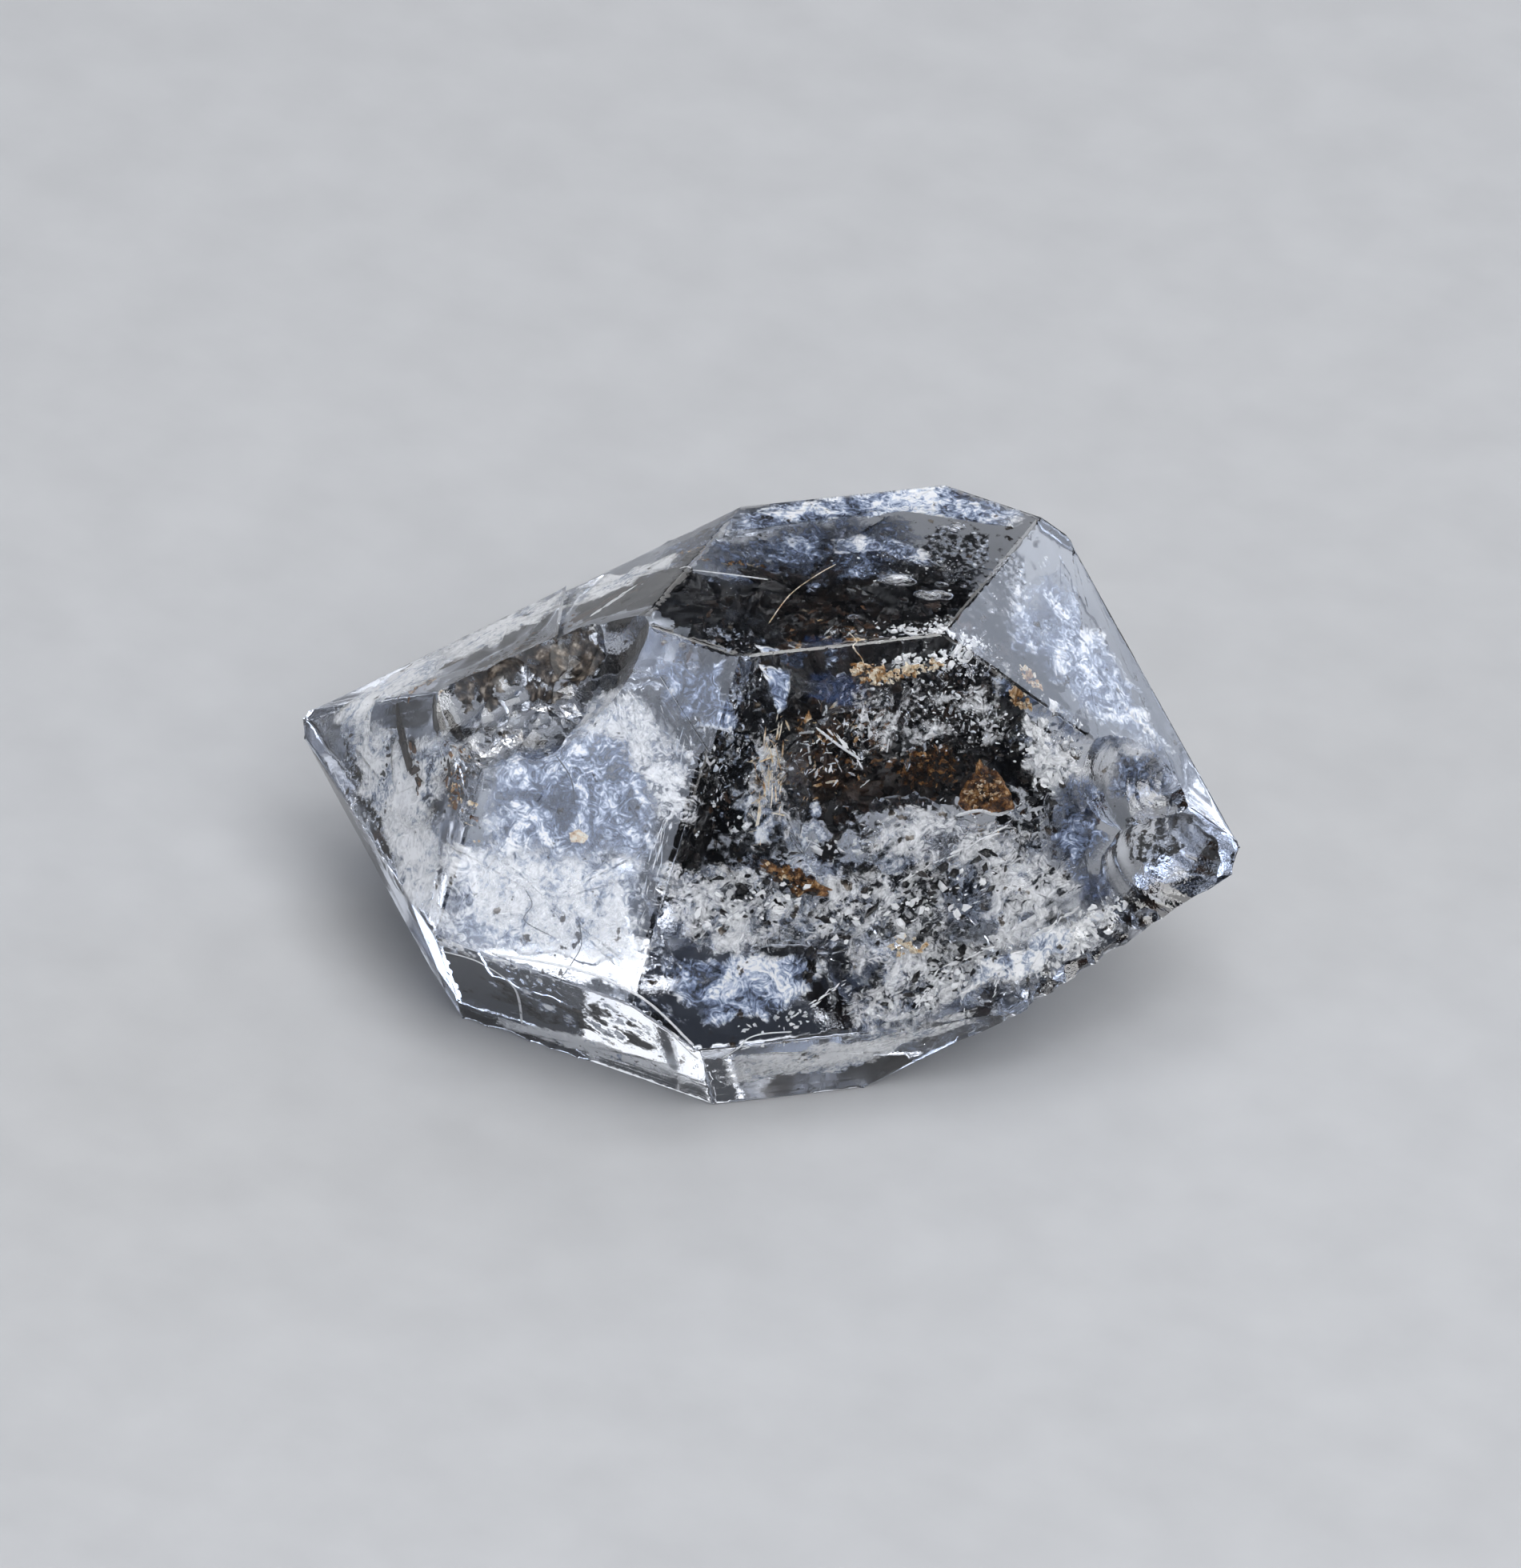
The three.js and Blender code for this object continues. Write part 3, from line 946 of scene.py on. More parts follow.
@dataclass
class Basket:
    """Collects closed shapes into one mesh.

    Attributes:
        sight: What finds places in the crystal, which has to enclose every shape.
        hollow: Whether the shapes are gaps in the quartz, whose faces turn inward.
        margin_mm: How deep inside the crystal every point has to lie.
        probes: About how many points of a shape are tested for that.
    """

    sight: Sight
    hollow: bool = False
    margin_mm: float = 0.03
    probes: int = 24
    points: list[Vector] = field(default_factory=list)
    tones: list[float] = field(default_factory=list)
    covers: list[float] = field(default_factory=list)
    faces: list[Face] = field(default_factory=list)
    dropped: int = 0

    def add(self, shape: Mesh, tone: float, covers: Sequence[float] = ()) -> None:
        """Adds a shape, unless it would reach out of the crystal.

        Args:
            shape: Its points, in metres, and its faces, turned outward.
            tone: Its place in its material's range of colours, from 0 to 1.
            covers: How much of the surface the material covers at each point, or nothing for all of it.
        """
        points, faces = shape
        every = max(1, len(points) // self.probes)
        if any(self.sight.solid.depth_of(point) < self.margin_mm for point in points[::every]):
            self.dropped += 1
            return
        base = len(self.points)
        self.points += points
        self.tones += [tone] * len(points)
        self.covers += covers or [1.0] * len(points)
        self.faces += [tuple(base + i for i in (face[::-1] if self.hollow else face)) for face in faces]

    def keep_inside(self, point: Vector) -> Vector:
        """Gives the point itself, or the nearest one that lies deep enough in the crystal."""
        near, normal, _, _ = self.sight.solid.surface().find_nearest(point)
        if (near - point).dot(normal) >= self.margin_mm * MM:
            return point
        return near - normal * (1.5 * self.margin_mm * MM)


class Shape(Enum):
    """What the small shapes of a swarm are."""

    FLAKE = "thin crumpled flake"
    CRUMB = "blunt crumb"
    DROP = "smooth flat drop"
    ROD = "straight needle"


@lru_cache(maxsize=8)
def ball(level: int) -> tuple[tuple[Vector, ...], tuple[Face, ...]]:
    """Gives an even net of triangles on the unit sphere, finer with each level."""
    net = bmesh.new()
    bmesh.ops.create_icosphere(net, subdivisions=level, radius=1.0)
    points = tuple(v.co.copy() for v in net.verts)
    faces = tuple(tuple(v.index for v in face.verts) for face in net.faces)
    net.free()
    return points, faces


def flake(draw: random.Random, size: Vector, crumple: float) -> Mesh:
    """Makes a closed, thin, crumpled flake with an irregular outline.

    Args:
        draw: Where its random numbers come from.
        size: Its length, width and thickness.
        crumple: How far it bends out of its plane, as a share of its width.

    Returns:
        Its points and its faces.
    """
    corners = 5
    start = draw.uniform(0, math.tau)
    turns = [start + math.tau * (k + draw.uniform(-0.35, 0.35)) / corners for k in range(corners)]
    reach = [draw.uniform(0.5, 1.0) for _ in range(corners)]
    middle: list[Vector] = [Vector((0, 0, 0))]
    for share in (0.55, 1.0):
        for turn, far in zip(turns, reach):
            bend = draw.uniform(-1, 1) * crumple * size.y * share**2
            at = Vector((size.x * far * share * math.cos(turn), size.y * far * share * math.sin(turn), 0)) / 2
            middle.append(at + Vector((0, 0, bend)))
    half = [0.6] + [0.5] * corners + [0.12] * corners
    upper = [p + Vector((0, 0, h * size.z)) for p, h in zip(middle, half)]
    lower = [p - Vector((0, 0, h * size.z)) for p, h in zip(middle, half)]
    count = len(middle)
    faces: list[Face] = []
    for k in range(corners):
        inner, outer = (1 + k, 1 + (k + 1) % corners), (1 + corners + k, 1 + corners + (k + 1) % corners)
        top = [(0, *inner), (inner[0], outer[0], outer[1]), (inner[0], outer[1], inner[1])]
        faces += top
        faces += [tuple(count + i for i in face[::-1]) for face in top]
        faces += [(outer[0], count + outer[0], count + outer[1]), (outer[0], count + outer[1], outer[1])]
    return upper + lower, faces


def pebble(draw: random.Random, size: Vector, rough: float, level: int) -> Mesh:
    """Makes a closed lump from an uneven sphere.

    Args:
        draw: Where its random numbers come from.
        size: Its length, width and thickness.
        rough: How uneven it is, as a share of its size.
        level: How fine its net is.

    Returns:
        Its points and its faces.
    """
    points, faces = ball(level)
    shift = Vector([draw.uniform(-50, 50) for _ in range(3)])
    made = []
    for point in points:
        swell = 1 + rough * (noise.noise(point * 0.9 + shift) + 0.5 * noise.noise(point * 2.3 - shift))
        made.append(Vector([c * s * swell / 2 for c, s in zip(point, size)]))
    return made, list(faces)


def rod(size: Vector) -> Mesh:
    """Makes a closed straight needle along x, with blunt points.

    Args:
        size: Its length, width and thickness.

    Returns:
        Its points and its faces.
    """
    sides = 5
    points = [Vector((-size.x / 2, 0, 0)), Vector((size.x / 2, 0, 0))]
    for end in (-0.47, 0.47):
        for k in range(sides):
            turn = math.tau * k / sides
            points.append(Vector((end * size.x, size.y * math.cos(turn) / 2, size.z * math.sin(turn) / 2)))
    faces: list[Face] = []
    for k in range(sides):
        a, b = 2 + k, 2 + (k + 1) % sides
        c, d = a + sides, b + sides
        faces += [(0, b, a), (1, c, d), (a, b, d), (a, d, c)]
    return points, faces


@dataclass(frozen=True)
class Swarm:
    """A cloud of small shapes inside the crystal.

    Attributes:
        spot: Its middle and its axes.
        spread: Half its size along, across and away from the viewer, in millimetres.
        count: How many shapes.
        size: Smallest and largest length, in millimetres.
        shape: What the shapes are.
        slender: Length over width.
        thin: Thickness over width.
        facing: How much the shapes lie in the cloud's own plane, from 0 to 1.
        grain: How much they line up with its first axis, from 0 to 1.
        crumple: How uneven each shape is.
        tone: Lowest and highest place in the material's range of colours.
        smallness: Above 1, small shapes outnumber large ones.
        varied: Least and most that a shape's width differs from the usual.
    """

    spot: Spot
    spread: tuple[float, float, float]
    count: int
    size: tuple[float, float]
    shape: Shape = Shape.FLAKE
    slender: float = 1.5
    thin: float = 0.12
    facing: float = 0.3
    grain: float = 0.3
    crumple: float = 0.25
    tone: tuple[float, float] = (0.0, 1.0)
    smallness: float = 1.4
    varied: tuple[float, float] = (0.7, 1.4)

    def fill(self, basket: Basket, draw: random.Random) -> None:
        """Adds the shapes to a basket.

        Args:
            basket: What collects them.
            draw: Where the random numbers come from.
        """
        base = basket.sight.axes_at(self.spot)
        for _ in range(self.count):
            length = self.size[0] * (self.size[1] / self.size[0]) ** (draw.random() ** self.smallness)
            width = length / (self.slender * draw.uniform(*self.varied))
            points, faces = self.make_one(draw, Vector((length, width, width * self.thin)))
            place = base @ self.place_one(draw)
            tone = draw.uniform(*self.tone)
            basket.add(([place @ (point * MM) for point in points], faces), tone)

    def make_one(self, draw: random.Random, size: Vector) -> Mesh:
        """Makes one shape at the origin, in millimetres."""
        if self.shape is Shape.FLAKE:
            return flake(draw, size, self.crumple)
        if self.shape is Shape.ROD:
            return rod(size)
        if self.shape is Shape.DROP:
            return pebble(draw, size, self.crumple, 3)
        return pebble(draw, size, self.crumple + 0.35, 1)

    def place_one(self, draw: random.Random) -> Matrix:
        """Gives one shape's place and turn in the cloud, which is thickest in the middle, in metres."""
        while True:
            spot = Vector([draw.uniform(-1, 1) for _ in range(3)])
            if spot.length < 1:
                break
        spot *= spot.length**0.5
        middle = Vector([c * s for c, s in zip(spot, self.spread)]) * MM
        axis = Vector([draw.gauss(0, 1) for _ in range(3)]).normalized()
        loose = Quaternion(axis, draw.uniform(0, math.pi))
        swing = Quaternion((0, 0, 1), draw.uniform(-1.6, 1.6) * (1 - self.grain))
        return Matrix.Translation(middle) @ swing.slerp(loose, 1 - self.facing).to_matrix().to_4x4()


# a film that covers its sheet only in part thins out by FADE over FADING_REACH times its outline's size
FADING_REACH = 1.16
FADE = 0.6


@dataclass(frozen=True)
class Sheet:
    """A thin, crumpled sheet inside the crystal, such as a fracture or a film.

    Attributes:
        depth: How deep its middle lies in the quartz, along the line of sight, in millimetres.
        outline: How its outline appears, as points right of and above the picture's middle, in millimetres.
        lean: How far it is tipped about the picture's level line, in degrees.
        swing: How far it is swung about the picture's upright line, in degrees.
        crumple_um: How far it bends out of its plane.
        crumple_mm: How far apart its bends are.
        rib_um: Height of the ribs that run round one end.
        rib_mm: Distance between the ribs.
        thick_um: Its thickness.
        grid_mm: How far apart its points are.
        tone: Its place in the material's range of colours.
        ragged_mm: How far its outline strays.
        cover: How much of it the material covers, from 0 to 1, before it thins out.
        hug: Whether it runs along the face that it is seen through, at that depth under it.
    """

    depth: float
    outline: tuple[tuple[float, float], ...]
    lean: float = 0.0
    swing: float = 0.0
    crumple_um: float = 40.0
    crumple_mm: float = 0.45
    rib_um: float = 0.0
    rib_mm: float = 0.13
    thick_um: float = 12.0
    grid_mm: float = 0.1
    tone: float = 0.5
    ragged_mm: float = 0.22
    cover: float = 1.0
    hug: bool = False

    def fill(self, basket: Basket, draw: random.Random) -> None:
        """Adds the sheet to a basket.

        Args:
            basket: What collects it.
            draw: Where the random numbers come from.
        """
        sight = basket.sight
        count = len(self.outline)
        middle = tuple(sum(point[i] for point in self.outline) / count for i in (0, 1))
        window = sight.window(*middle)
        plane = sight.axes_at(Spot(middle, self.depth, 0.0, self.lean, self.swing))
        origin, normal = plane.translation, plane.to_3x3().col[2]
        if self.hug:
            origin, normal = window.point - window.normal * (self.depth * MM), -window.normal
        rim = self.ragged_rim(draw)
        rings = max(2, math.ceil(max(math.dist(point, middle) for point in rim) / self.grid_mm))
        reach = FADING_REACH if self.cover < 1 else 1.0
        flat = [middle]
        covers = [self.cover]
        for ring in range(1, rings + 1):
            share = ring / rings
            flat += [tuple(m + (p - m) * share * reach for m, p in zip(middle, point)) for point in rim]
            covers += [self.cover * (1 - share**4) - FADE * share**6] * len(rim)
        shift = Vector([draw.uniform(-50, 50) for _ in range(3)])
        pole = Vector(flat[-1 - draw.randrange(len(rim))]).to_3d()
        tops, bottoms = [], []
        for index, (right, up) in enumerate(flat):
            start, ahead = sight.enter(right, up, window)
            place = start + ahead * ((origin - start).dot(normal) / ahead.dot(normal))
            wave = noise.noise(place / (self.crumple_mm * MM) + shift)
            fine = noise.noise(place / (0.31 * self.crumple_mm * MM) - shift)
            rib = math.sin(math.tau * (Vector((right, up, 0)) - pole).length / self.rib_mm)
            height = self.crumple_um * (wave + 0.3 * fine) + self.rib_um * rib
            half = self.thick_um * (0.5 if index <= len(flat) - 1 - len(rim) else 0.1)
            tops.append(basket.keep_inside(place - normal * (height + half) * MM / 1000))
            bottoms.append(basket.keep_inside(place - normal * (height - half) * MM / 1000))
        basket.add((tops + bottoms, self.skin(len(rim), rings)), self.tone, covers * 2)

    def ragged_rim(self, draw: random.Random) -> list[tuple[float, float]]:
        """Gives the outline with many points and a ragged course."""
        rim = []
        seed = draw.uniform(-50, 50)
        for start, end in zip(self.outline, self.outline[1:] + self.outline[:1]):
            pieces = max(1, round(math.dist(start, end) / self.grid_mm))
            for k in range(pieces):
                at = [s + (e - s) * k / pieces for s, e in zip(start, end)]
                strayed = []
                for shift, along in zip((0.0, 9.0), at):
                    place = Vector((*at, seed + shift))
                    stray = noise.noise(place / 0.7) + 0.6 * noise.noise(place / 0.26)
                    strayed.append(along + stray * self.ragged_mm + draw.uniform(-0.25, 0.25) * self.grid_mm)
                rim.append(tuple(strayed))
        return rim

    def skin(self, around: int, rings: int) -> list[Face]:
        """Gives the faces of both sides and the rim.

        Args:
            around: How many points each ring has.
            rings: How many rings lie round the middle.

        Returns:
            The faces, turned outward.
        """
        count = 1 + around * rings
        front: list[Face] = []
        for k in range(around):
            j = (k + 1) % around
            front.append((0, 1 + k, 1 + j))
            for ring in range(rings - 1):
                a, b = 1 + ring * around + k, 1 + ring * around + j
                front += [(a, a + around, b + around), (a, b + around, b)]
        last = 1 + (rings - 1) * around
        faces = front + [tuple(count + i for i in face[::-1]) for face in front]
        for k in range(around):
            a, b = last + k, last + (k + 1) % around
            faces += [(a, count + a, count + b), (a, count + b, b)]
        return faces


@dataclass(frozen=True)
class Lump:
    """A craggy lump inside the crystal.

    Attributes:
        spot: Its middle and its axes.
        half: Half its size along, across and away from the viewer, in millimetres.
        crag: How craggy it is, as a share of its size.
        crag_mm: How far apart its crags are.
        level: How fine its net is.
        tone: Its place in the material's range of colours.
    """

    spot: Spot
    half: tuple[float, float, float]
    crag: float = 0.5
    crag_mm: float = 0.45
    level: int = 5
    tone: float = 0.2

    def fill(self, basket: Basket, draw: random.Random) -> None:
        """Adds the lump to a basket.

        Args:
            basket: What collects it.
            draw: Where the random numbers come from.
        """
        base = basket.sight.axes_at(self.spot)
        shift = Vector([draw.uniform(-50, 50) for _ in range(3)])
        points, faces = ball(self.level)
        made = []
        for point in points:
            place = Vector([c * h for c, h in zip(point, self.half)])
            at = place / self.crag_mm + shift
            rough = 0.8 * noise.noise(at) + 0.35 * (1 - 2 * abs(noise.noise(at * 0.8)))
            swell = 1 + self.crag * (rough + 0.4 * noise.noise(at * 2.7 - shift) - 0.2)
            made.append(basket.keep_inside(base @ (place * max(0.1, swell) * MM)))
        basket.add((made, list(faces)), self.tone)


@dataclass(frozen=True)
class Thread:
    """A hair-thin fibre.

    Attributes:
        course: Points that it passes, right of and above the picture's middle and deep in the quartz, in
            millimetres.
        width_um: Its width.
        sides: How many sides it has.
        step_mm: How far apart its rings are.
        tone: Its place in the material's range of colours.
    """

    course: tuple[tuple[float, float, float], ...]
    width_um: float = 22.0
    sides: int = 6
    step_mm: float = 0.03
    tone: float = 0.5

    def fill(self, basket: Basket, draw: random.Random) -> None:
        """Adds the fibre to a basket.

        Args:
            basket: What collects it.
            draw: Where the random numbers come from.
        """
        window = basket.sight.window(*self.course[0][:2])
        knots = []
        for right, up, depth in self.course:
            start, ahead = basket.sight.enter(right, up, window)
            knots.append(start + ahead * depth * MM)
        line = self.smoothed(knots)
        points: list[Vector] = []
        side = Vector((0.3, 0.5, 0.8))
        for k, place in enumerate(line):
            along = (line[min(k + 1, len(line) - 1)] - line[max(k - 1, 0)]).normalized()
            side = (side - along * side.dot(along)).normalized()
            other = along.cross(side)
            taper = min(1.0, 0.25 + 0.3 * min(k, len(line) - 1 - k))
            radius = self.width_um * MM / 2000 * taper * (1 + 0.15 * draw.uniform(-1, 1))
            for i in range(self.sides):
                turn = math.tau * i / self.sides
                points.append(place + (side * math.cos(turn) + other * math.sin(turn)) * radius)
        faces: list[Face] = []
        for k in range(len(line) - 1):
            for i in range(self.sides):
                a, b = k * self.sides + i, k * self.sides + (i + 1) % self.sides
                faces += [(a, b, b + self.sides), (a, b + self.sides, a + self.sides)]
        last = len(points) - self.sides
        for i in range(1, self.sides - 1):
            faces += [(0, i + 1, i), (last, last + i, last + i + 1)]
        basket.add((points, faces), self.tone)

    def smoothed(self, knots: list[Vector]) -> list[Vector]:
        """Gives points along a smooth curve through the knots."""
        line = []
        for k in range(len(knots) - 1):
            a, b, c, d = (knots[min(max(k + i, 0), len(knots) - 1)] for i in (-1, 0, 1, 2))
            steps = max(2, math.ceil((c - b).length / (self.step_mm * MM)))
            for i in range(steps):
                t = i / steps
                near = b + (c - a) * (t / 2) + (a * 2 - b * 5 + c * 4 - d) * (t * t / 2)
                line.append(near + (b * 3 - a - c * 3 + d) * (t**3 / 2))
        return [*line, knots[-1]]


class Finish(Protocol):
    """What makes a material."""

    def make(self) -> bpy.types.Material:
        """Makes the material."""


class Part(Protocol):
    """What adds shapes to a basket."""

    def fill(self, basket: Basket, draw: random.Random) -> None:
        """Adds its shapes."""


@dataclass(frozen=True)
class CarbonAndClay:
    """Anthraxolite, a black, glassy carbon, with dull brown clay: it grew in before the quartz closed.

    Attributes:
        patch_mm: Size of the patches of clay.
        grain_mm: Size of its grains.
        grain_um: Height of its grains.
    """

    patch_mm: float = 0.5
    grain_mm: float = 0.05
    grain_um: float = 30.0

    def make(self) -> bpy.types.Material:
        """Makes the material: near black and shiny, or brown, dull and grainy where clay covers it."""
        shader = Shader("anthraxolite_and_clay")
        add = shader.add
        place = add(Kind.PLACE)
        tone = add(Kind.ATTRIBUTE, "tone")
        patch = add(Kind.NOISE, Vector=place, Scale=per_metre(self.patch_mm), Detail=6.0, Roughness=0.65)
        mixed = add(Kind.PRODUCT_PLUS, i0=patch, i1=1.3, i2=tone)
        clay = add(Kind.PRODUCT_PLUS, i0=mixed, i1=0.75, i2=-0.35)
        browns = ((0.1, "#0B0A0A"), (0.3, "#17110D"), (0.5, "#332012"), (0.7, "#55361C"), (0.88, "#7A5835"))
        colour = add(Kind.RAMP, stops=browns, Fac=clay)
        rough = add(Kind.RAMP, stops=((0.2, 0.22), (0.6, 0.6)), Fac=clay)
        grain = add(Kind.NOISE, Vector=place, Scale=per_metre(self.grain_mm), Detail=3.0)
        bump = add(Kind.BUMP, Height=grain, Strength=0.8, Distance=self.grain_um * MM / 1000)
        add(Kind.OUTPUT, Surface=add(Kind.SURFACE, Base_Color=colour, Roughness=rough, Normal=bump, IOR=1.5))
        return shader.material


@dataclass(frozen=True)
class IronOxide:
    """Crusts of iron oxide that ground water left on old cracks: amber where thin, rust brown where thick.

    Attributes:
        crust_mm: Size of the crust's patches.
        grain_mm: Size of its grains.
        grain_um: Height of its grains.
    """

    crust_mm: float = 0.16
    grain_mm: float = 0.04
    grain_um: float = 30.0

    def make(self) -> bpy.types.Material:
        """Makes the material: uneven, warm, crusty, and a little see-through."""
        shader = Shader("iron_oxide_crust")
        add = shader.add
        place = add(Kind.PLACE)
        tone = add(Kind.ATTRIBUTE, "tone")
        crust = add(Kind.NOISE, Vector=place, Scale=per_metre(self.crust_mm), Detail=7.0, Roughness=0.75)
        mixed = add(Kind.PRODUCT_PLUS, i0=tone, i1=0.36, i2=crust)
        thin = add(Kind.PRODUCT_PLUS, i0=mixed, i1=2.1, i2=-0.86)
        rusts = ((0.12, "#0E0805"), (0.32, "#35200F"), (0.48, "#74461D"))
        creams = ((0.62, "#AE7C42"), (0.78, "#DDC39B"), (0.95, "#FBF1DE"))
        colour = add(Kind.RAMP, stops=rusts + creams, Fac=thin)
        grain = add(Kind.NOISE, Vector=place, Scale=per_metre(self.grain_mm), Detail=3.0)
        bump = add(Kind.BUMP, Height=grain, Strength=0.9, Distance=self.grain_um * MM / 1000)
        film = {"Roughness": 0.4, "IOR": 1.4, "Transmission_Weight": 0.2}
        add(Kind.OUTPUT, Surface=add(Kind.SURFACE, Base_Color=colour, Normal=bump, **film))
        return shader.material


@dataclass(frozen=True)
class CrackDustAndSparkle:
    """Dust of black carbon on a healed crack, white grains that paint sparkle, and clear quartz between its
    grains.

    Attributes:
        grain_mm: Size of its grains.
        patch_mm: Size of the patches that it lies in.
        region_mm: Size of the regions where one kind of grain prevails.
    """

    grain_mm: float
    patch_mm: float
    region_mm: float

    def make(self) -> bpy.types.Material:
        """Makes the material: black and white grains that let the light by where there are none."""
        shader = Shader("carbon_dust_and_painted_sparkle")
        add = shader.add
        place = add(Kind.PLACE)
        tone = add(Kind.ATTRIBUTE, "tone")
        cover = add(Kind.ATTRIBUTE, "cover")
        grain = add(Kind.NOISE, Vector=place, Scale=per_metre(self.grain_mm), Detail=5.0, Roughness=0.62)
        patch = add(Kind.NOISE, Vector=place, Scale=per_metre(self.patch_mm), Detail=4.0, Roughness=0.6)
        region = add(Kind.NOISE, Vector=place, Scale=per_metre(self.region_mm), Detail=2.0)
        cluster = add(Kind.PRODUCT_PLUS, i0=region, i1=0.4, i2=-0.2)
        shade = add(Kind.PRODUCT_PLUS, i0=tone, i1=0.4, i2=add(Kind.SUM, i0=grain, i1=cluster))
        # the blacks are carbon; the whites paint sparkle
        greys = ((0.6, "#060608"), (0.68, "#2A2C33"), (0.73, "#8F9BB2"), (0.8, "#FDFEFF"))
        colour = add(Kind.RAMP, stops=greys, Fac=shade)
        solid = add(Kind.RAMP, stops=((0.58, 1.0), (0.65, 0.0), (0.7, 0.0), (0.76, 1.0)), Fac=shade)
        there = add(Kind.RAMP, stops=((0.9, 0.0), (1.06, 1.0)), Fac=add(Kind.SUM, i0=patch, i1=cover))
        alpha = add(Kind.PRODUCT, i0=solid, i1=there)
        add(Kind.OUTPUT, Surface=add(Kind.SURFACE, Base_Color=colour, Roughness=0.45, IOR=1.4, Alpha=alpha))
        return shader.material


@dataclass(frozen=True)
class MistWithPaintedLight:
    """A veil of bubbles too fine to see apart, white where thick; its low tones paint shade and a blue sheen.

    Attributes:
        cloud_mm: Size of its clouds.
        wisp_mm: Size of the wisps in them.
        contrast: How far its darkest and whitest parts differ.
        colours: Its colours, from the thinnest to the thickest; the low ones paint shade and a blue sheen.
    """

    cloud_mm: float = 0.7
    wisp_mm: float = 0.22
    contrast: float = 1.4
    # the first colour paints a blue sheen, and the dark greys after it paint shade
    colours: tuple[str, ...] = ("#33548F", "#262B36", "#465065", "#8492AE", "#CBD5E6", "#FFFFFF")

    def make(self) -> bpy.types.Material:
        """Makes the material: soft-edged, and more see-through the thinner it is."""
        shader = Shader("mist_with_painted_light")
        add = shader.add
        soft = {"Vector": add(Kind.PLACE), "Roughness": 0.6}
        tone = add(Kind.ATTRIBUTE, "tone")
        cover = add(Kind.ATTRIBUTE, "cover")
        cloud = add(Kind.NOISE, Scale=per_metre(self.cloud_mm), Detail=6.0, Distortion=1.4, **soft)
        wisp = add(Kind.NOISE, Scale=per_metre(self.wisp_mm), Detail=4.0, Distortion=2.6, **soft)
        mixed = add(Kind.PRODUCT_PLUS, i0=wisp, i1=0.8, i2=cloud)
        shade = add(Kind.PRODUCT_PLUS, i0=tone, i1=0.5, i2=mixed)
        # the contrast turns about a middling shade of 1.15, which comes out at 0.46
        level = add(Kind.PRODUCT_PLUS, i0=shade, i1=self.contrast, i2=0.46 - 1.15 * self.contrast)
        stops = tuple(zip((0.0, 0.12, 0.28, 0.44, 0.56, 0.68), self.colours))
        colour = add(Kind.RAMP, stops=stops, Fac=level)
        dense = add(Kind.PRODUCT_PLUS, i0=cover, i1=0.6, i2=mixed)
        thick = add(Kind.PRODUCT_PLUS, i0=dense, i1=1.0, i2=-0.7)
        alpha = add(Kind.RAMP, stops=((0.25, 0.0), (0.5, 0.55), (0.72, 0.95)), Fac=thick)
        add(Kind.OUTPUT, Surface=add(Kind.SURFACE, Base_Color=colour, Roughness=0.5, IOR=1.4, Alpha=alpha))
        return shader.material


@dataclass(frozen=True)
class QuartzGap:
    """The quartz's own skin at a gap: clear from the front, and a silver mirror past the critical angle.

    Attributes:
        grain_mm: Size of its grains.
    """

    grain_mm: float = 0.1

    def make(self) -> bpy.types.Material:
        """Makes the material: bright, and satin in places."""
        shader = Shader("gap_in_quartz")
        add = shader.add
        grain = add(Kind.NOISE, Vector=add(Kind.PLACE), Scale=per_metre(self.grain_mm), Detail=3.0)
        rough = add(Kind.RAMP, stops=((0.42, 0.0), (0.56, 0.05), (0.7, 0.2)), Fac=grain)
        glass = {"Base_Color": linear(CLEAR), "IOR": QUARTZ_IOR, "Transmission_Weight": 1.0}
        add(Kind.OUTPUT, Surface=add(Kind.SURFACE, Roughness=rough, **glass))
        return shader.material


@dataclass(frozen=True)
class MilkyQuartzAndGlints:
    """Cloudy veils: quartz crowded with gaps too fine to see, white like snow; in some flakes the white
    paints glints.

    Attributes:
        grain_mm: Size of its patches.
    """

    grain_mm: float = 0.3

    def make(self) -> bpy.types.Material:
        """Makes the material: white to pale blue grey, glossy, and partly see-through."""
        shader = Shader("milky_quartz_and_painted_glints")
        add = shader.add
        cloud = add(Kind.NOISE, Vector=add(Kind.PLACE), Scale=per_metre(self.grain_mm), Detail=4.0)
        mixed = add(Kind.PRODUCT_PLUS, i0=cloud, i1=0.5, i2=add(Kind.ATTRIBUTE, "tone"))
        colour = add(Kind.RAMP, stops=((0.3, "#8C98AE"), (0.7, "#D5DCE8"), (1.1, "#FFFFFF")), Fac=mixed)
        gloss = {"Roughness": 0.25, "IOR": 1.4, "Transmission_Weight": 0.15}
        add(Kind.OUTPUT, Surface=add(Kind.SURFACE, Base_Color=colour, **gloss))
        return shader.material


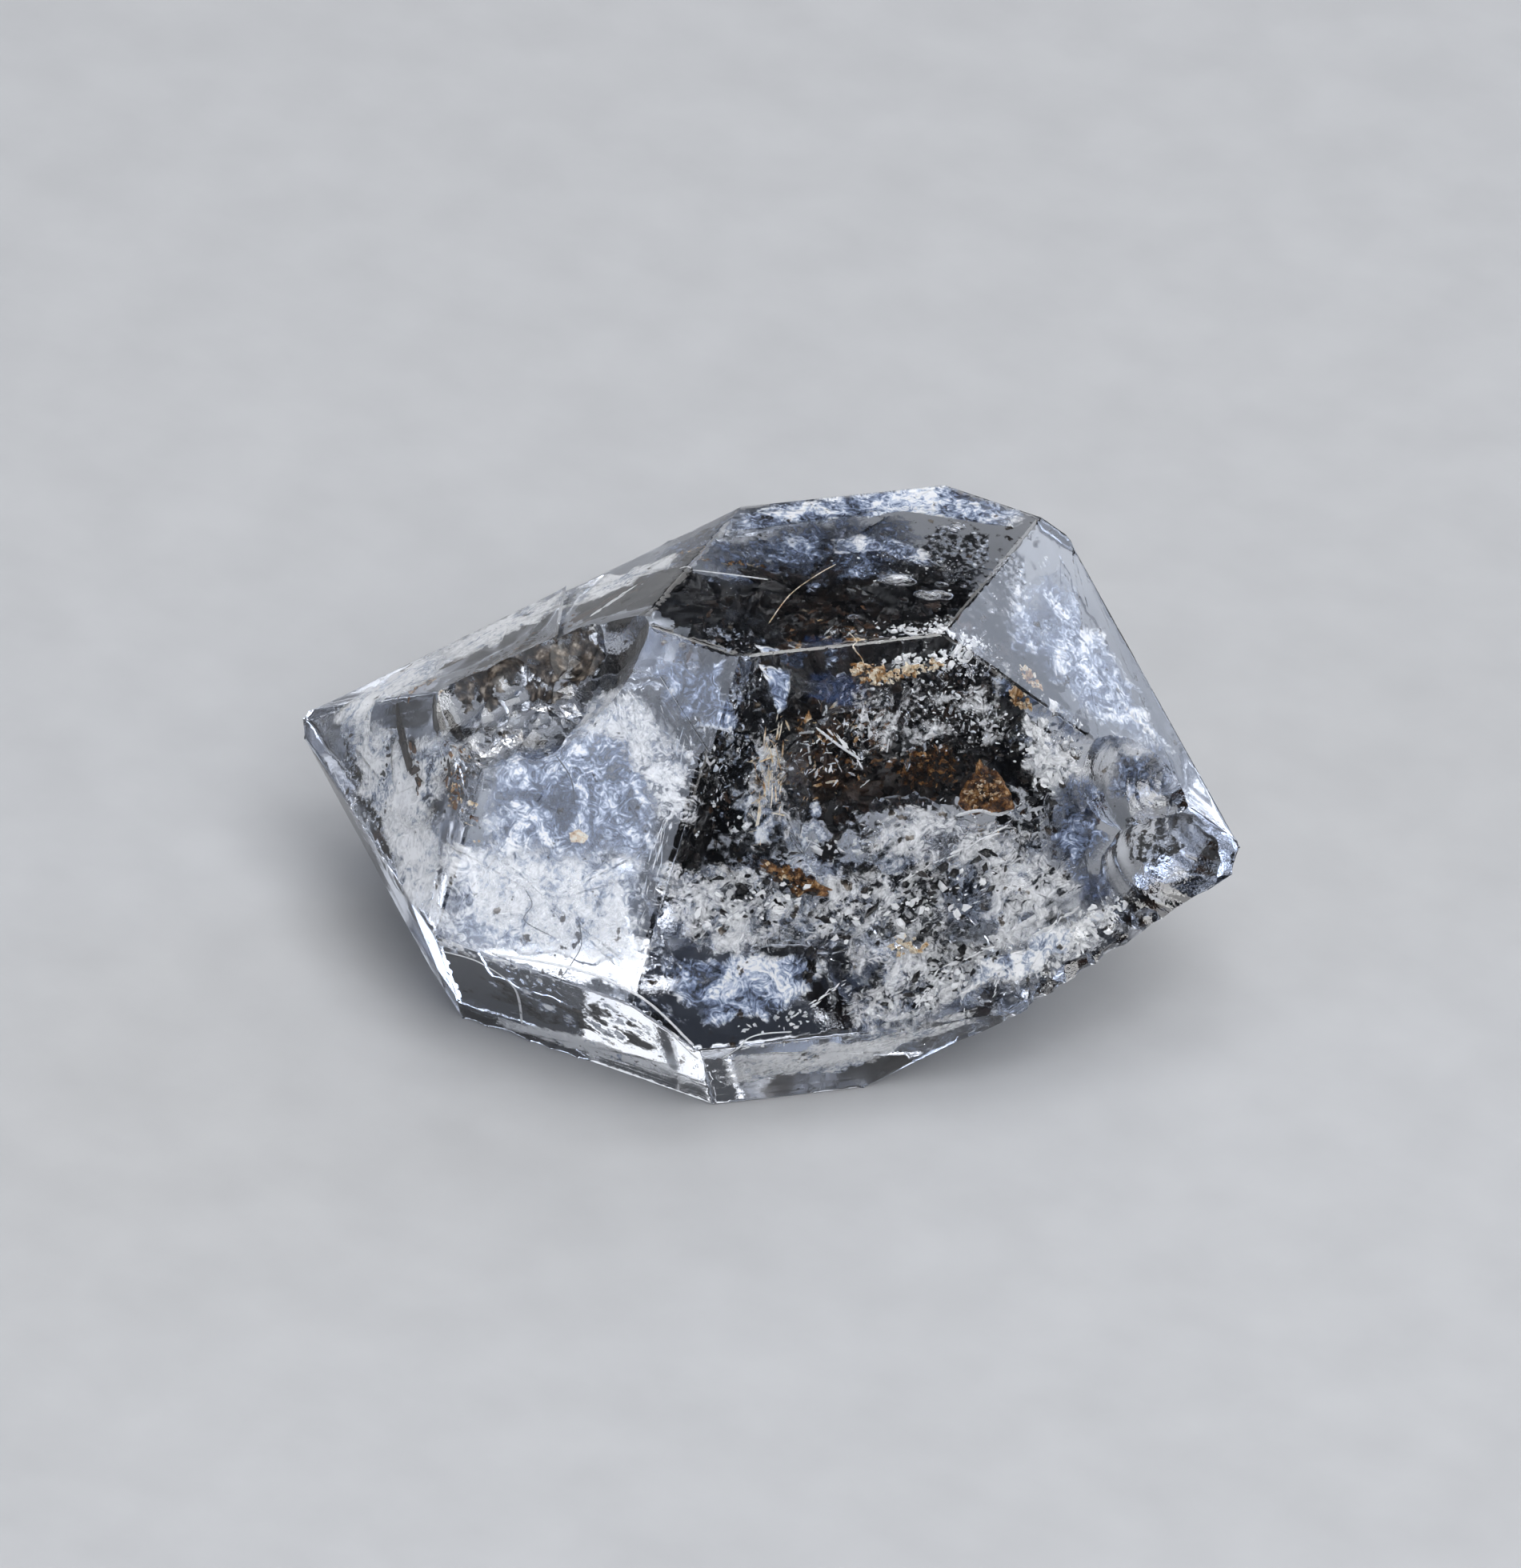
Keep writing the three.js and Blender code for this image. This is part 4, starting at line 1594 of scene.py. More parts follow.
@dataclass(frozen=True)
class Inclusion:
    """One piece made of shapes that are sealed in the quartz.

    Attributes:
        name: The piece's name.
        slot: The record's material slot; it is not used.
        finish: What it is made of.
        parts: The shapes.
        seed: Seed of its random numbers.
        hollow: Whether the shapes are gaps in the quartz.
        sharp_deg: Edges that turn more than this are drawn sharp.
    """

    name: str
    slot: str
    finish: Finish
    parts: tuple[Part, ...]
    seed: int
    hollow: bool = False
    sharp_deg: float = 30.0

    def build(self, sight: Sight) -> bpy.types.Object:
        """Builds the piece, and lets it ride with the crystal.

        Args:
            sight: What finds its places in the crystal.

        Returns:
            The piece.
        """
        basket = Basket(sight, self.hollow)
        for index, part in enumerate(self.parts):
            part.fill(basket, random.Random(1000 * self.seed + index))
        mesh = bpy.data.meshes.new(self.name)
        mesh.from_pydata(basket.points, [], basket.faces)
        mesh.materials.append(self.finish.make())
        write_values(mesh, "tone", basket.tones)
        write_values(mesh, "cover", basket.covers)
        mesh.shade_smooth()
        mesh.set_sharp_from_angle(angle=math.radians(self.sharp_deg))
        piece = show(self.name, mesh)
        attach(piece, BODY)
        LOG.info("%s: %d triangles, %d shapes left out", self.name, len(basket.faces), basket.dropped)
        return piece


# what the swarms and sheets below have in common
crumbs = partial(Swarm, shape=Shape.CRUMB, thin=0.8)
scales = partial(Swarm, slender=1.8, facing=0.85, grain=0.5, tone=(0, 0.1))
# white slivers that paint glints
painted_glint_shards = partial(Swarm, slender=1.7, facing=0.85, tone=(0.8, 1))
glints = partial(Swarm, facing=0.0, crumple=0.12)
ridge = partial(Swarm, slender=5, facing=0.9, grain=0.95, tone=(0.8, 1))
crack = partial(Sheet, grid_mm=0.065)
film = partial(Sheet, hug=True)

DARK_MASS = (
    # the big mass low at the back, seen from above through the top face
    Lump(Spot((-0.45, 2.75), 4.7, -14), (1.25, 0.62, 0.5), 0.5, tone=0),
    Lump(Spot((0.95, 2.45), 4.9, -12), (1.4, 0.58, 0.5), 0.5, tone=0.35),
    Lump(Spot((2.1, 2.3), 4.8, -8), (1.1, 0.33, 0.4), 0.5, tone=0.7),
    Swarm(Spot((0.5, 2.55), 4.1, -14), (2.1, 0.45, 0.25), 110, (0.06, 0.35), facing=0.5, tone=(0, 0.9)),
    Swarm(Spot((2.75, 3.2), 2.4, -8), (0.7, 0.28, 0.2), 34, (0.08, 0.35), facing=0.8, tone=(0, 0.1)),
    Swarm(Spot((2.6, 3.5), 3, -8), (1.2, 0.5, 0.5), 50, (0.05, 0.2), facing=0.6, tone=(0, 0.2)),
    # its near side, behind the large sloping face
    Lump(Spot((1.5, 1), 3.9, 20), (1.6, 1.15, 0.4), 0.8, 0.35, level=6, tone=0.2),
    Lump(Spot((3.2, 1.15), 3.3, -30), (1.15, 0.75, 0.4), 0.9, 0.3, tone=0),
    Lump(Spot((2.5, 0.2), 3.3, 0), (0.9, 0.5, 0.3), 0.8, 0.3, tone=0.3),
    Lump(Spot((1, -0.1), 3.1, -10), (0.8, 0.45, 0.3), 0.8, 0.3, tone=0.5),
    Swarm(Spot((1.2, 0.6), 2.7, 60), (1.3, 1, 0.5), 230, (0.08, 0.5), slender=2.2, grain=0.5, tone=(0, 0.9)),
    Swarm(Spot((3, 1.1), 2.3, -35), (1.2, 0.9, 0.5), 260, (0.06, 0.42), facing=0.4, tone=(0, 0.35)),
    Swarm(Spot((2.8, 0.1), 2.3), (0.9, 0.7, 0.5), 130, (0.05, 0.35), facing=0.4, tone=(0, 0.9)),
    Swarm(Spot((4.4, 0), 2), (0.6, 1, 0.5), 90, (0.05, 0.35), facing=0.4, tone=(0, 0.5)),
    Swarm(Spot((4.9, -0.8), 1.1, 60), (0.5, 0.3, 0.2), 70, (0.08, 0.4), facing=0.5, tone=(0.2, 0.8)),
    # the wall behind the edge between the two front faces
    Lump(Spot((-0.72, 1.35), 2.9, 80), (0.8, 0.34, 0.35), 0.9, 0.3, tone=0),
    Lump(Spot((-0.8, 0.2), 2.6, 82), (0.8, 0.3, 0.3), 0.9, 0.28, tone=0),
    Lump(Spot((-1.05, -0.9), 2.2, 70), (0.6, 0.2, 0.25), 0.9, 0.28, tone=0.1, level=4),
    Swarm(Spot((-0.6, 0.6), 2.1, 82), (1.8, 0.65, 0.4), 330, (0.05, 0.4), slender=2.2, grain=0.5,
          tone=(0, 0.45)),
    Swarm(Spot((-0.1, -1.2), 1.9, -20), (0.9, 0.35, 0.3), 90, (0.05, 0.35), slender=2.5, grain=0.5,
          tone=(0, 0.5)),
    # crumbs low in the large face
    crumbs(Spot((0.8, -2.8), 0.4, 80), (0.36, 0.1, 0.08), 34, (0.04, 0.2), tone=(0, 0.2)),
    crumbs(Spot((0.1, -3.3), 0.9), (0.35, 0.08, 0.15), 14, (0.03, 0.09), tone=(0, 0.1)),
    Swarm(Spot((0.9, -1.6), 1.5), (2.3, 0.8, 0.6), 120, (0.08, 0.5), facing=0.5, tone=(0, 0.3)),
    Swarm(Spot((3, -1.5), 1.4), (1.8, 0.8, 0.5), 90, (0.06, 0.5), facing=0.5, tone=(0, 0.3)),
    scales(Spot((0, -1.75), 0.4, -15), (1.4, 0.45, 0.1), 70, (0.06, 0.36)),
    scales(Spot((2.6, -1.75), 0.4, 15), (1.9, 0.6, 0.1), 90, (0.06, 0.36)),
    scales(Spot((2.7, -3.05), 0.35, 22), (1.5, 0.45, 0.08), 64, (0.06, 0.34)),
    scales(Spot((4.4, 0), 0.5, -60), (0.8, 0.35, 0.1), 40, (0.06, 0.3)),
    # under the long strip of the left point
    Lump(Spot((-1.69, 3.1), 0.7, 30), (0.55, 0.26, 0.16), 0.6, tone=0, level=4),
    Lump(Spot((-2.24, 2.98), 0.4, 41), (0.52, 0.09, 0.06), 0.6, tone=0.5, level=4),
    Lump(Spot((-2.8, 2.63), 0.4, 20), (0.25, 0.12, 0.08), 0.8, 0.2, tone=0.55, level=4),
    Swarm(Spot((-2.1, 2.95), 0.5, 35), (0.9, 0.2, 0.1), 50, (0.1, 0.5), slender=5, facing=0.8, grain=0.9,
          tone=(0, 0.6)),
    # slanting streaks in the left point
    Lump(Spot((-5.57, 0.6), 0.17, -62), (0.62, 0.08, 0.04), 0.8, 0.2, tone=0.25, level=4),
    Lump(Spot((-5.07, 1), 0.17, -75), (0.28, 0.07, 0.04), 0.8, 0.2, tone=0.1, level=4),
    Lump(Spot((-4.77, 0.85), 0.17, -62), (0.36, 0.08, 0.04), 0.8, 0.2, tone=0.15, level=4),
    Swarm(Spot((-5.4, 0.3), 0.22, -64), (0.85, 0.12, 0.05), 40, (0.08, 0.4), slender=2, facing=0.7,
          grain=0.85, tone=(0, 0.8)),
    Swarm(Spot((-4.85, 0.3), 0.22, -65), (0.9, 0.2, 0.05), 60, (0.06, 0.3), slender=2, facing=0.6, grain=0.7,
          tone=(0.1, 0.9)),
    crumbs(Spot((-5.9, 0.2), 0.2, -60), (1, 0.4, 0.05), 30, (0.05, 0.18), thin=0.6, tone=(0, 0.3)),
    # debris under the floor of the contact hollow
    Lump(Spot((-3.38, 2.5), 0.3, 40), (0.16, 0.14, 0.08), 0.8, 0.15, tone=0, level=4),
    Lump(Spot((-4.77, 1.93), 0.3, 20), (0.24, 0.1, 0.06), 0.9, 0.15, tone=0.4, level=4),
    Lump(Spot((-4.29, 1.89), 0.3, 10), (0.2, 0.13, 0.06), 0.9, 0.15, tone=0.05, level=4),
    Lump(Spot((-3.76, 1.94), 0.3, 20), (0.2, 0.09, 0.06), 0.9, 0.15, tone=0.3, level=4),
    Lump(Spot((-3.19, 2), 0.3, 70), (0.17, 0.09, 0.06), 0.9, 0.15, tone=0.45, level=4),
    Lump(Spot((-3.88, 1.6), 0.3, -10), (0.18, 0.09, 0.06), 0.9, 0.15, tone=0, level=4),
    Swarm(Spot((-3.9, 1.85), 0.4, 25), (1.2, 0.3, 0.1), 90, (0.04, 0.2), facing=0.8, grain=0.6,
          tone=(0, 0.6)),
    # loose specks
    crumbs(Spot((2.5, 3.4), 1.8), (1.6, 0.6, 0.8), 30, (0.03, 0.12), tone=(0, 0.2)),
    crumbs(Spot((5.2, 2), 1.6, -55), (1.6, 0.5, 0.6), 26, (0.03, 0.12), tone=(0, 0.2)),
    crumbs(Spot((-3, -0.5), 1.4), (1.4, 1.8, 0.6), 30, (0.02, 0.09), tone=(0, 0.3)),
    Thread(((-2.9, -0.35, 0.15), (-2.94, 0, 0.15), (-3.02, 0.2, 0.15), (-3.2, 0.45, 0.15)), 20, tone=0),
    Thread(((-3.69, -1.63, 0.2), (-3.57, -1.88, 0.2), (-3.69, -2.13, 0.2), (-3.26, -2.38, 0.2)), 14,
           tone=0.2),
    Thread(((-2.85, -2.1, 0.2), (-2.8, -2.5, 0.2), (-2.95, -2.8, 0.2), (-3.13, -3.05, 0.2)), 16, tone=0),
    Swarm(Spot((-2.85, -2.4), 0.2, 80), (0.3, 0.06, 0.03), 9, (0.08, 0.3), facing=0.8, grain=0.8,
          tone=(0, 0.3)),
)

IRON_CRUSTS = (
    # the triangular crust at the right, and what clings to it
    Sheet(1.6, ((3.05, -0.35), (3.2, 0.1), (3.42, 0.36), (3.65, 0.2), (3.9, -0.1), (3.95, -0.32),
          (3.6, -0.42), (3.3, -0.5)), -20, 15, 70, 0.16, grid_mm=0.04, tone=0.3, ragged_mm=0.08),
    Swarm(Spot((3.5, -0.12), 1.5, 20), (0.34, 0.3, 0.06), 80, (0.04, 0.18), facing=0.7, tone=(0.3, 1)),
    Swarm(Spot((2.6, 0.28), 1.9), (0.5, 0.36, 0.25), 170, (0.05, 0.3), facing=0.4, tone=(0, 0.5)),
    Lump(Spot((2.6, 0.3), 2.2), (0.4, 0.26, 0.12), 0.9, 0.16, level=4, tone=0),
    # the slanting band low at the left
    Lump(Spot((0.55, -1.5), 0.5, -27), (0.52, 0.15, 0.05), 0.9, 0.15, tone=0.3),
    Swarm(Spot((0.55, -1.5), 0.42, -27), (0.55, 0.18, 0.05), 90, (0.05, 0.26), facing=0.7, tone=(0, 0.8)),
    # along the top of the large face
    Swarm(Spot((1.8, 1.72), 0.75, -15), (0.45, 0.16, 0.06), 90, (0.05, 0.28), facing=0.6, tone=(0.4, 1)),
    Swarm(Spot((2.45, 1.8), 0.65, 8), (0.5, 0.1, 0.06), 60, (0.05, 0.25), facing=0.6, tone=(0.7, 1)),
    Swarm(Spot((4.05, 1.35), 1.3, -60), (0.26, 0.14, 0.08), 40, (0.06, 0.25), facing=0.7, tone=(0.5, 1)),
    # gold line and warm grains in the big mass
    Swarm(Spot((-0.35, 3.45), 3.2, -9), (0.7, 0.07, 0.1), 80, (0.05, 0.22), facing=0.5, grain=0.6,
          tone=(0.3, 0.9)),
    Swarm(Spot((1.5, 2.35), 4.2, -12), (1.25, 0.3, 0.15), 170, (0.05, 0.3), facing=0.5, tone=(-0.3, 0.1)),
    # straws and grains across the near side of the mass
    Swarm(Spot((1.1, 0.6), 2.2, 60), (1.2, 0.9, 0.5), 130, (0.05, 0.35), slender=3, facing=0.4, grain=0.6,
          tone=(0.1, 0.9)),
    Swarm(Spot((0.12, 0.1), 1.1, 84), (1.1, 0.34, 0.1), 120, (0.08, 0.6), slender=9, facing=0.4, grain=0.92,
          tone=(0.75, 1)),
    Swarm(Spot((3, -1.1), 1.6, 35), (1, 0.3, 0.2), 60, (0.1, 0.5), slender=6, facing=0.5, grain=0.8,
          tone=(0.6, 1)),
    Swarm(Spot((2.28, -2.5), 0.4), (0.3, 0.2, 0.04), 26, (0.08, 0.34), facing=0.9, tone=(0.85, 1)),
    # in the left point and the contact hollow
    Swarm(Spot((-4.75, 0.1), 0.22, -70), (1.1, 0.3, 0.06), 90, (0.04, 0.16), facing=0.7, tone=(0.2, 0.9)),
    Swarm(Spot((-3.9, 2.1), 0.3, 30), (1.5, 0.25, 0.12), 60, (0.04, 0.2), facing=0.7, tone=(-0.2, 0.4)),
    Swarm(Spot((-5.3, 1.55), 0.3, 10), (0.4, 0.12, 0.08), 40, (0.04, 0.2), facing=0.5, tone=(0.2, 0.8)),
    film(0.2, ((-3, -0.75), (-2.85, -0.7), (-2.68, -0.8), (-2.76, -0.92), (-2.98, -0.9)), grid_mm=0.03,
         tone=0.95, ragged_mm=0.03),
    Thread(((0.12, 2.5, 0.5), (0.45, 2.95, 0.6), (0.85, 3.25, 0.6), (1.18, 3.44, 0.5)), 20, tone=0.9),
    Thread(((1.37, 2.38, 0.5), (1.55, 2.2, 0.5), (1.62, 2.06, 0.5)), 18, tone=0.8),
)

FRACTURES = (
    # sheets behind the large sloping face
    crack(1.5, ((1.7, -0.3), (2.4, -0.1), (3.2, -0.6), (3.3, -1.2), (2.4, -1.4), (1.7, -1.2)), 30, 20, 60,
          0.4, 8),
    crack(1.1, ((2, -1), (3, -0.7), (3.9, -0.5), (3.8, -0.9), (2.9, -1.3), (2.1, -1.6)), -35, 10, 70, 0.35),
    crack(2.2, ((-0.6, 2), (0.3, 2.1), (0.5, 1.5), (0.2, 0.9), (-0.4, 1.2)), 10, 42, 30, 0.5),
    crack(1.4, ((0.6, 1.7), (1.8, 1.8), (1.9, 1.2), (1, 1)), 40, -15, 50, 0.4),
    crack(1.8, ((-0.6, 0.4), (0.6, 0.5), (0.7, -1.2), (-0.3, -1.2)), 5, 48, 40, 0.3, 10, 0.1),
    crack(1.2, ((0.9, -2.3), (2.2, -2.1), (3.4, -2.2), (4, -3.2), (2.5, -3.9), (1.4, -3.5)), 44, 10, 70, 0.5,
          8),
    crack(1.6, ((-1.5, -1.4), (0.5, -1.4), (2, -1.6), (1.8, -2.4), (0.2, -2.6), (-1.3, -2.4)), -42, 5, 80,
          0.35),
    crack(0.9, ((3.9, -0.9), (4.9, 0.2), (5, -0.8), (4.4, -1.7)), 20, 40, 60, 0.35),
    crack(0.7, ((3.9, -2.2), (5.1, -1.6), (5.4, -2.1), (4.3, -2.9)), 40, 0, 50, 0.3),
    # under the top face
    crack(2.4, ((1, 3.75), (1.9, 3.95), (2.5, 3.6), (3.1, 3.4), (2.9, 2.8), (1.9, 2.9), (1, 3.1)), 12, 0, 60,
          0.5),
    # behind the left front face
    crack(1, ((-3, 1.6), (-1.4, 1.7), (-1, 0.5), (-2, -0.2), (-3.2, 0.4)), 20, 35, 60, 0.4, 6, 0.09),
    crack(1.8, ((-4.5, 0.4), (-2.6, 0.6), (-2.2, -1), (-4.3, -1.2)), -38, 10, 70, 0.5),
    crack(1.5, ((-4.6, -1.3), (-2.4, -1.2), (-1.9, -2.8), (-4.2, -2.6)), 40, -10, 60, 0.5),
    # in the right point
    crack(1.5, ((3.6, 2.9), (4.8, 3.6), (5.7, 1.6), (4.6, 1)), 25, 30, 60, 0.6),
    glints(Spot((-0.3, -1.75), 1.2, 5), (1.2, 0.45, 0.4), 120, (0.1, 0.42)),
    glints(Spot((1.5, -1.8), 1.2, 10), (1.3, 0.55, 0.4), 120, (0.1, 0.42)),
    glints(Spot((3, -1.1), 1.2, 20), (1.5, 0.6, 0.4), 120, (0.08, 0.4)),
    glints(Spot((4.6, 0.5), 0.9, -45), (0.75, 0.4, 0.3), 120, (0.06, 0.3)),
    glints(Spot((2.6, -2.9), 0.8, 20), (1.5, 0.5, 0.3), 110, (0.1, 0.5), slender=2.5, facing=0.1),
    glints(Spot((2.2, 1), 1.2), (1.8, 0.9, 0.4), 120, (0.05, 0.3)),
    glints(Spot((-0.4, 0.6), 1.2, 80), (1.6, 0.5, 0.4), 160, (0.05, 0.3), slender=2.5, facing=0.1),
    Swarm(Spot((4.6, -2.4), 0.8, 32), (1.1, 0.35, 0.3), 100, (0.06, 0.35)),
    Swarm(Spot((-6.2, -0.2), 0.9, -60), (1, 0.45, 0.3), 90, (0.05, 0.2)),
    Swarm(Spot((3.2, 1.9), 1), (0.5, 0.35, 0.3), 90, (0.05, 0.2)),
    Swarm(Spot((1.2, -4.3), 1, 9), (2.2, 0.25, 0.4), 90, (0.06, 0.4), slender=3, grain=0.8),
)

MILKY_AND_GLINTS = (
    # white flakes low in the large face, where they paint sparkle
    Swarm(Spot((-0.3, -1.75), 1.6, 5), (1.2, 0.4, 0.4), 80, (0.06, 0.4), thin=0.3, tone=(0.8, 1)),
    Swarm(Spot((1.5, -1.75), 1.6, 10), (1.3, 0.5, 0.4), 80, (0.06, 0.4), thin=0.3, tone=(0.8, 1)),
    Swarm(Spot((0.6, -1), 1.6, -20), (1.4, 0.35, 0.4), 70, (0.05, 0.3), thin=0.3, tone=(0.7, 1)),
    Swarm(Spot((4.55, 0.5), 1, -45), (0.75, 0.36, 0.3), 120, (0.06, 0.3), thin=0.3, tone=(0.7, 1)),
    Swarm(Spot((4, -0.9), 1.2, 40), (1.3, 0.5, 0.4), 150, (0.05, 0.32), slender=3, tone=(0.6, 1)),
    Swarm(Spot((2.2, -0.75), 1.5, 25), (1, 0.35, 0.4), 130, (0.06, 0.34), slender=2.5, tone=(0.6, 1)),
    Swarm(Spot((5, -2.45), 0.35, 38), (1.1, 0.3, 0.2), 220, (0.06, 0.3), thin=0.3, tone=(0.7, 1)),
    Swarm(Spot((2.7, 1.95), 1, 2), (0.9, 0.12, 0.2), 90, (0.05, 0.24), thin=0.3, tone=(0.7, 1)),
    Swarm(Spot((1.4, 0.9), 1.6, 50), (1.3, 0.8, 0.4), 150, (0.04, 0.26), slender=3, tone=(0.5, 1)),
    Swarm(Spot((3, 1.2), 1.6, -30), (1, 0.7, 0.4), 170, (0.03, 0.2), slender=2, tone=(0.6, 1)),
    Swarm(Spot((-1.9, 0.85), 0.45, -62), (1, 0.6, 0.2), 130, (0.06, 0.5), slender=11, facing=0.8, grain=0.8,
          tone=(0.2, 0.9)),
    ridge(Spot((-1.5, -0.6), 0.4, 76), (1.6, 0.16, 0.1), 40, (0.2, 0.7), slender=20, tone=(0.3, 0.9)),
    Swarm(Spot((-2.7, -1.8), 1.8), (1.3, 0.8, 0.8), 160, (0.04, 0.2), tone=(0.2, 0.9)),
    Swarm(Spot((-3.2, -0.2), 2.2), (1.4, 1, 0.9), 140, (0.04, 0.22), tone=(0.1, 0.7)),
    Swarm(Spot((-6.1, -0.2), 1.1, -60), (1.2, 0.5, 0.4), 120, (0.04, 0.2), tone=(0.2, 0.9)),
    Swarm(Spot((4.9, 1.9), 1.9, -52), (1.6, 0.6, 0.8), 130, (0.04, 0.25), tone=(0.1, 0.8)),
    Swarm(Spot((1.1, 3.5), 3, -5), (1.5, 0.5, 0.8), 90, (0.03, 0.16), tone=(0.1, 0.8)),
    crumbs(Spot((0.9, 2.7), 3.6, -10), (2.1, 0.6, 0.3), 60, (0.02, 0.05), tone=(0.6, 1)),
    crumbs(Spot((2.6, 3.4), 0.9, -10), (1.6, 0.7, 0.5), 60, (0.02, 0.06), tone=(0.6, 1)),
    crumbs(Spot((3.6, 1), 1.7, -35), (1, 0.6, 0.4), 60, (0.02, 0.07), tone=(0.6, 1)),
    Swarm(Spot((1, 0.2), 2, 50), (1.4, 1.1, 0.6), 24, (0.1, 0.45), Shape.ROD, slender=12, thin=1, facing=0.5,
          grain=0.6, tone=(0.4, 1)),
    Swarm(Spot((-0.6, 0.5), 1.8, 80), (1.6, 0.4, 0.4), 90, (0.04, 0.25), slender=2.5, grain=0.6,
          tone=(0.1, 0.8)),
    Swarm(Spot((-3.6, 1.8), 0.25, 30), (1.5, 0.5, 0.15), 90, (0.04, 0.2), tone=(0, 0.8)),
    Swarm(Spot((2.6, -3), 1, 20), (1.4, 0.5, 0.4), 90, (0.05, 0.34), slender=2.5, tone=(0.6, 1)),
    Swarm(Spot((0.4, -3.6), 0.8, 5), (0.9, 0.35, 0.3), 40, (0.05, 0.2), thin=0.3, tone=(0.7, 1)),
    # white threads that paint the bright seam where a crack is seen along its edge
    Thread(((3.05, -0.5, 1.4), (3.4, -0.42, 1.4), (3.7, -0.48, 1.4), (3.95, -0.4, 1.4)), 60, tone=1),
    Thread(((0.87, 0.88, 1.4), (1.2, 0.62, 1.4), (1.56, 0.38, 1.4)), 42, tone=1),
    ridge(Spot((-2.29, 2.88), 0.25, 45), (0.45, 0.06, 0.03), 40, (0.1, 0.4), slender=4),
    Thread(((1.56, 1.25, 1.5), (1.68, 1, 1.5), (1.7, 0.7, 1.5)), 40, tone=1),
    Thread(((-1.07, 3.35, 1), (-0.5, 3.28, 1), (0.12, 3.2, 1)), 32, tone=1),
    Thread(((4, -2.25, 0.6), (4.5, -1.95, 0.6), (5, -1.6, 0.6)), 110, tone=1),
    Thread(((-5, -2.62, 0.2), (-4.4, -2.8, 0.25), (-3.85, -3.2, 0.25), (-3.73, -3.75, 0.15)), 45, tone=1),
    Thread(((-4.2, -2.75, 0.2), (-2.9, -3.05, 0.3), (-1.9, -3.5, 0.3), (-1, -4.3, 0.2)), 40, tone=1),
    Thread(((-0.6, -4.3, 0.2), (-0.1, -4.02, 0.2), (0.5, -3.95, 0.2)), 26, tone=1),
    # crisp white slivers among the veils, which paint glints
    painted_glint_shards(Spot((-0.2, -1.95), 0.28, 10), (1.1, 0.4, 0.06), 60, (0.05, 0.26)),
    painted_glint_shards(Spot((2.4, -1.9), 0.28, 15), (1.6, 0.55, 0.06), 70, (0.05, 0.28)),
    painted_glint_shards(Spot((4.4, 0.3), 0.3, -60), (0.7, 0.32, 0.06), 44, (0.05, 0.28)),
    painted_glint_shards(Spot((2.9, -3.1), 0.25, 22), (1.3, 0.35, 0.05), 44, (0.05, 0.26)),
    # ridges where plates of healed fracture meet, low in the large face
    ridge(Spot((2.6, -3.25), 0.35, 62), (0.5, 0.05, 0.03), 15, (0.1, 0.36), grain=0.93),
    ridge(Spot((3.12, -3.25), 0.35, 100), (0.4, 0.05, 0.03), 12, (0.1, 0.34), grain=0.93),
    ridge(Spot((2.9, -2.85), 0.4, 22), (1.1, 0.05, 0.03), 26, (0.1, 0.4), tone=(0.7, 1)),
    ridge(Spot((3.7, -3.1), 0.3, 72), (0.45, 0.05, 0.03), 14, (0.1, 0.36), grain=0.93),
    ridge(Spot((2.9, -1.15), 0.45, 26), (1.2, 0.05, 0.03), 26, (0.1, 0.45), slender=6, tone=(0.7, 1)),
    ridge(Spot((1, -3.3), 0.35, 32), (0.6, 0.05, 0.03), 14, (0.1, 0.36), grain=0.93),
    ridge(Spot((4.5, -2.3), 0.3, 34), (0.7, 0.05, 0.03), 20, (0.1, 0.42)),
    ridge(Spot((1.3, 0.62), 0.5, -48), (0.5, 0.05, 0.03), 12, (0.1, 0.4), slender=6, tone=(0.7, 0.9)),
)

BUBBLES = (
    Swarm(Spot((2.1, 3.2), 1.1, -8), (0.1, 0.06, 0.05), 2, (0.5, 0.62), Shape.DROP, 2, 0.35, 0.9, 0.9, 0.25),
    Swarm(Spot((2.7, 2.95), 1.1, -3), (0.14, 0.08, 0.05), 2, (0.4, 0.5), Shape.DROP, 1.8, 0.35, 0.9, 0.9,
          0.25),
    Swarm(Spot((3, 4), 0.9, -5), (0.2, 0.08, 0.05), 3, (0.18, 0.35), Shape.DROP, 1.8, 0.35, 0.9, 0.9),
    Swarm(Spot((3.1, 3.1), 1.2, -5), (0.5, 0.25, 0.1), 6, (0.08, 0.25), Shape.DROP, 1.5, 0.4, 0.8, 0.8),
    Swarm(Spot((2, -0.9), 1.5), (0.7, 0.5, 0.3), 16, (0.15, 0.45), Shape.DROP, 1.5, 0.6, 0.4, 0.3, 0.3),
    Swarm(Spot((-2.8, -0.8), 0.6), (0.2, 0.12, 0.05), 3, (0.15, 0.3), Shape.DROP, 1.5, 0.4, 0.8, 0.3),
    Swarm(Spot((1.45, 2.62), 0.7), (0.05, 0.05, 0.05), 1, (0.2, 0.22), Shape.DROP, 1.4, 0.5, 0.9, 0.9),
    Swarm(Spot((0.8, -1.9), 1.5), (1.8, 0.5, 0.5), 40, (0.06, 0.2), Shape.DROP, 1.3, 0.7, 0.3, 0.3, 0.3),
)

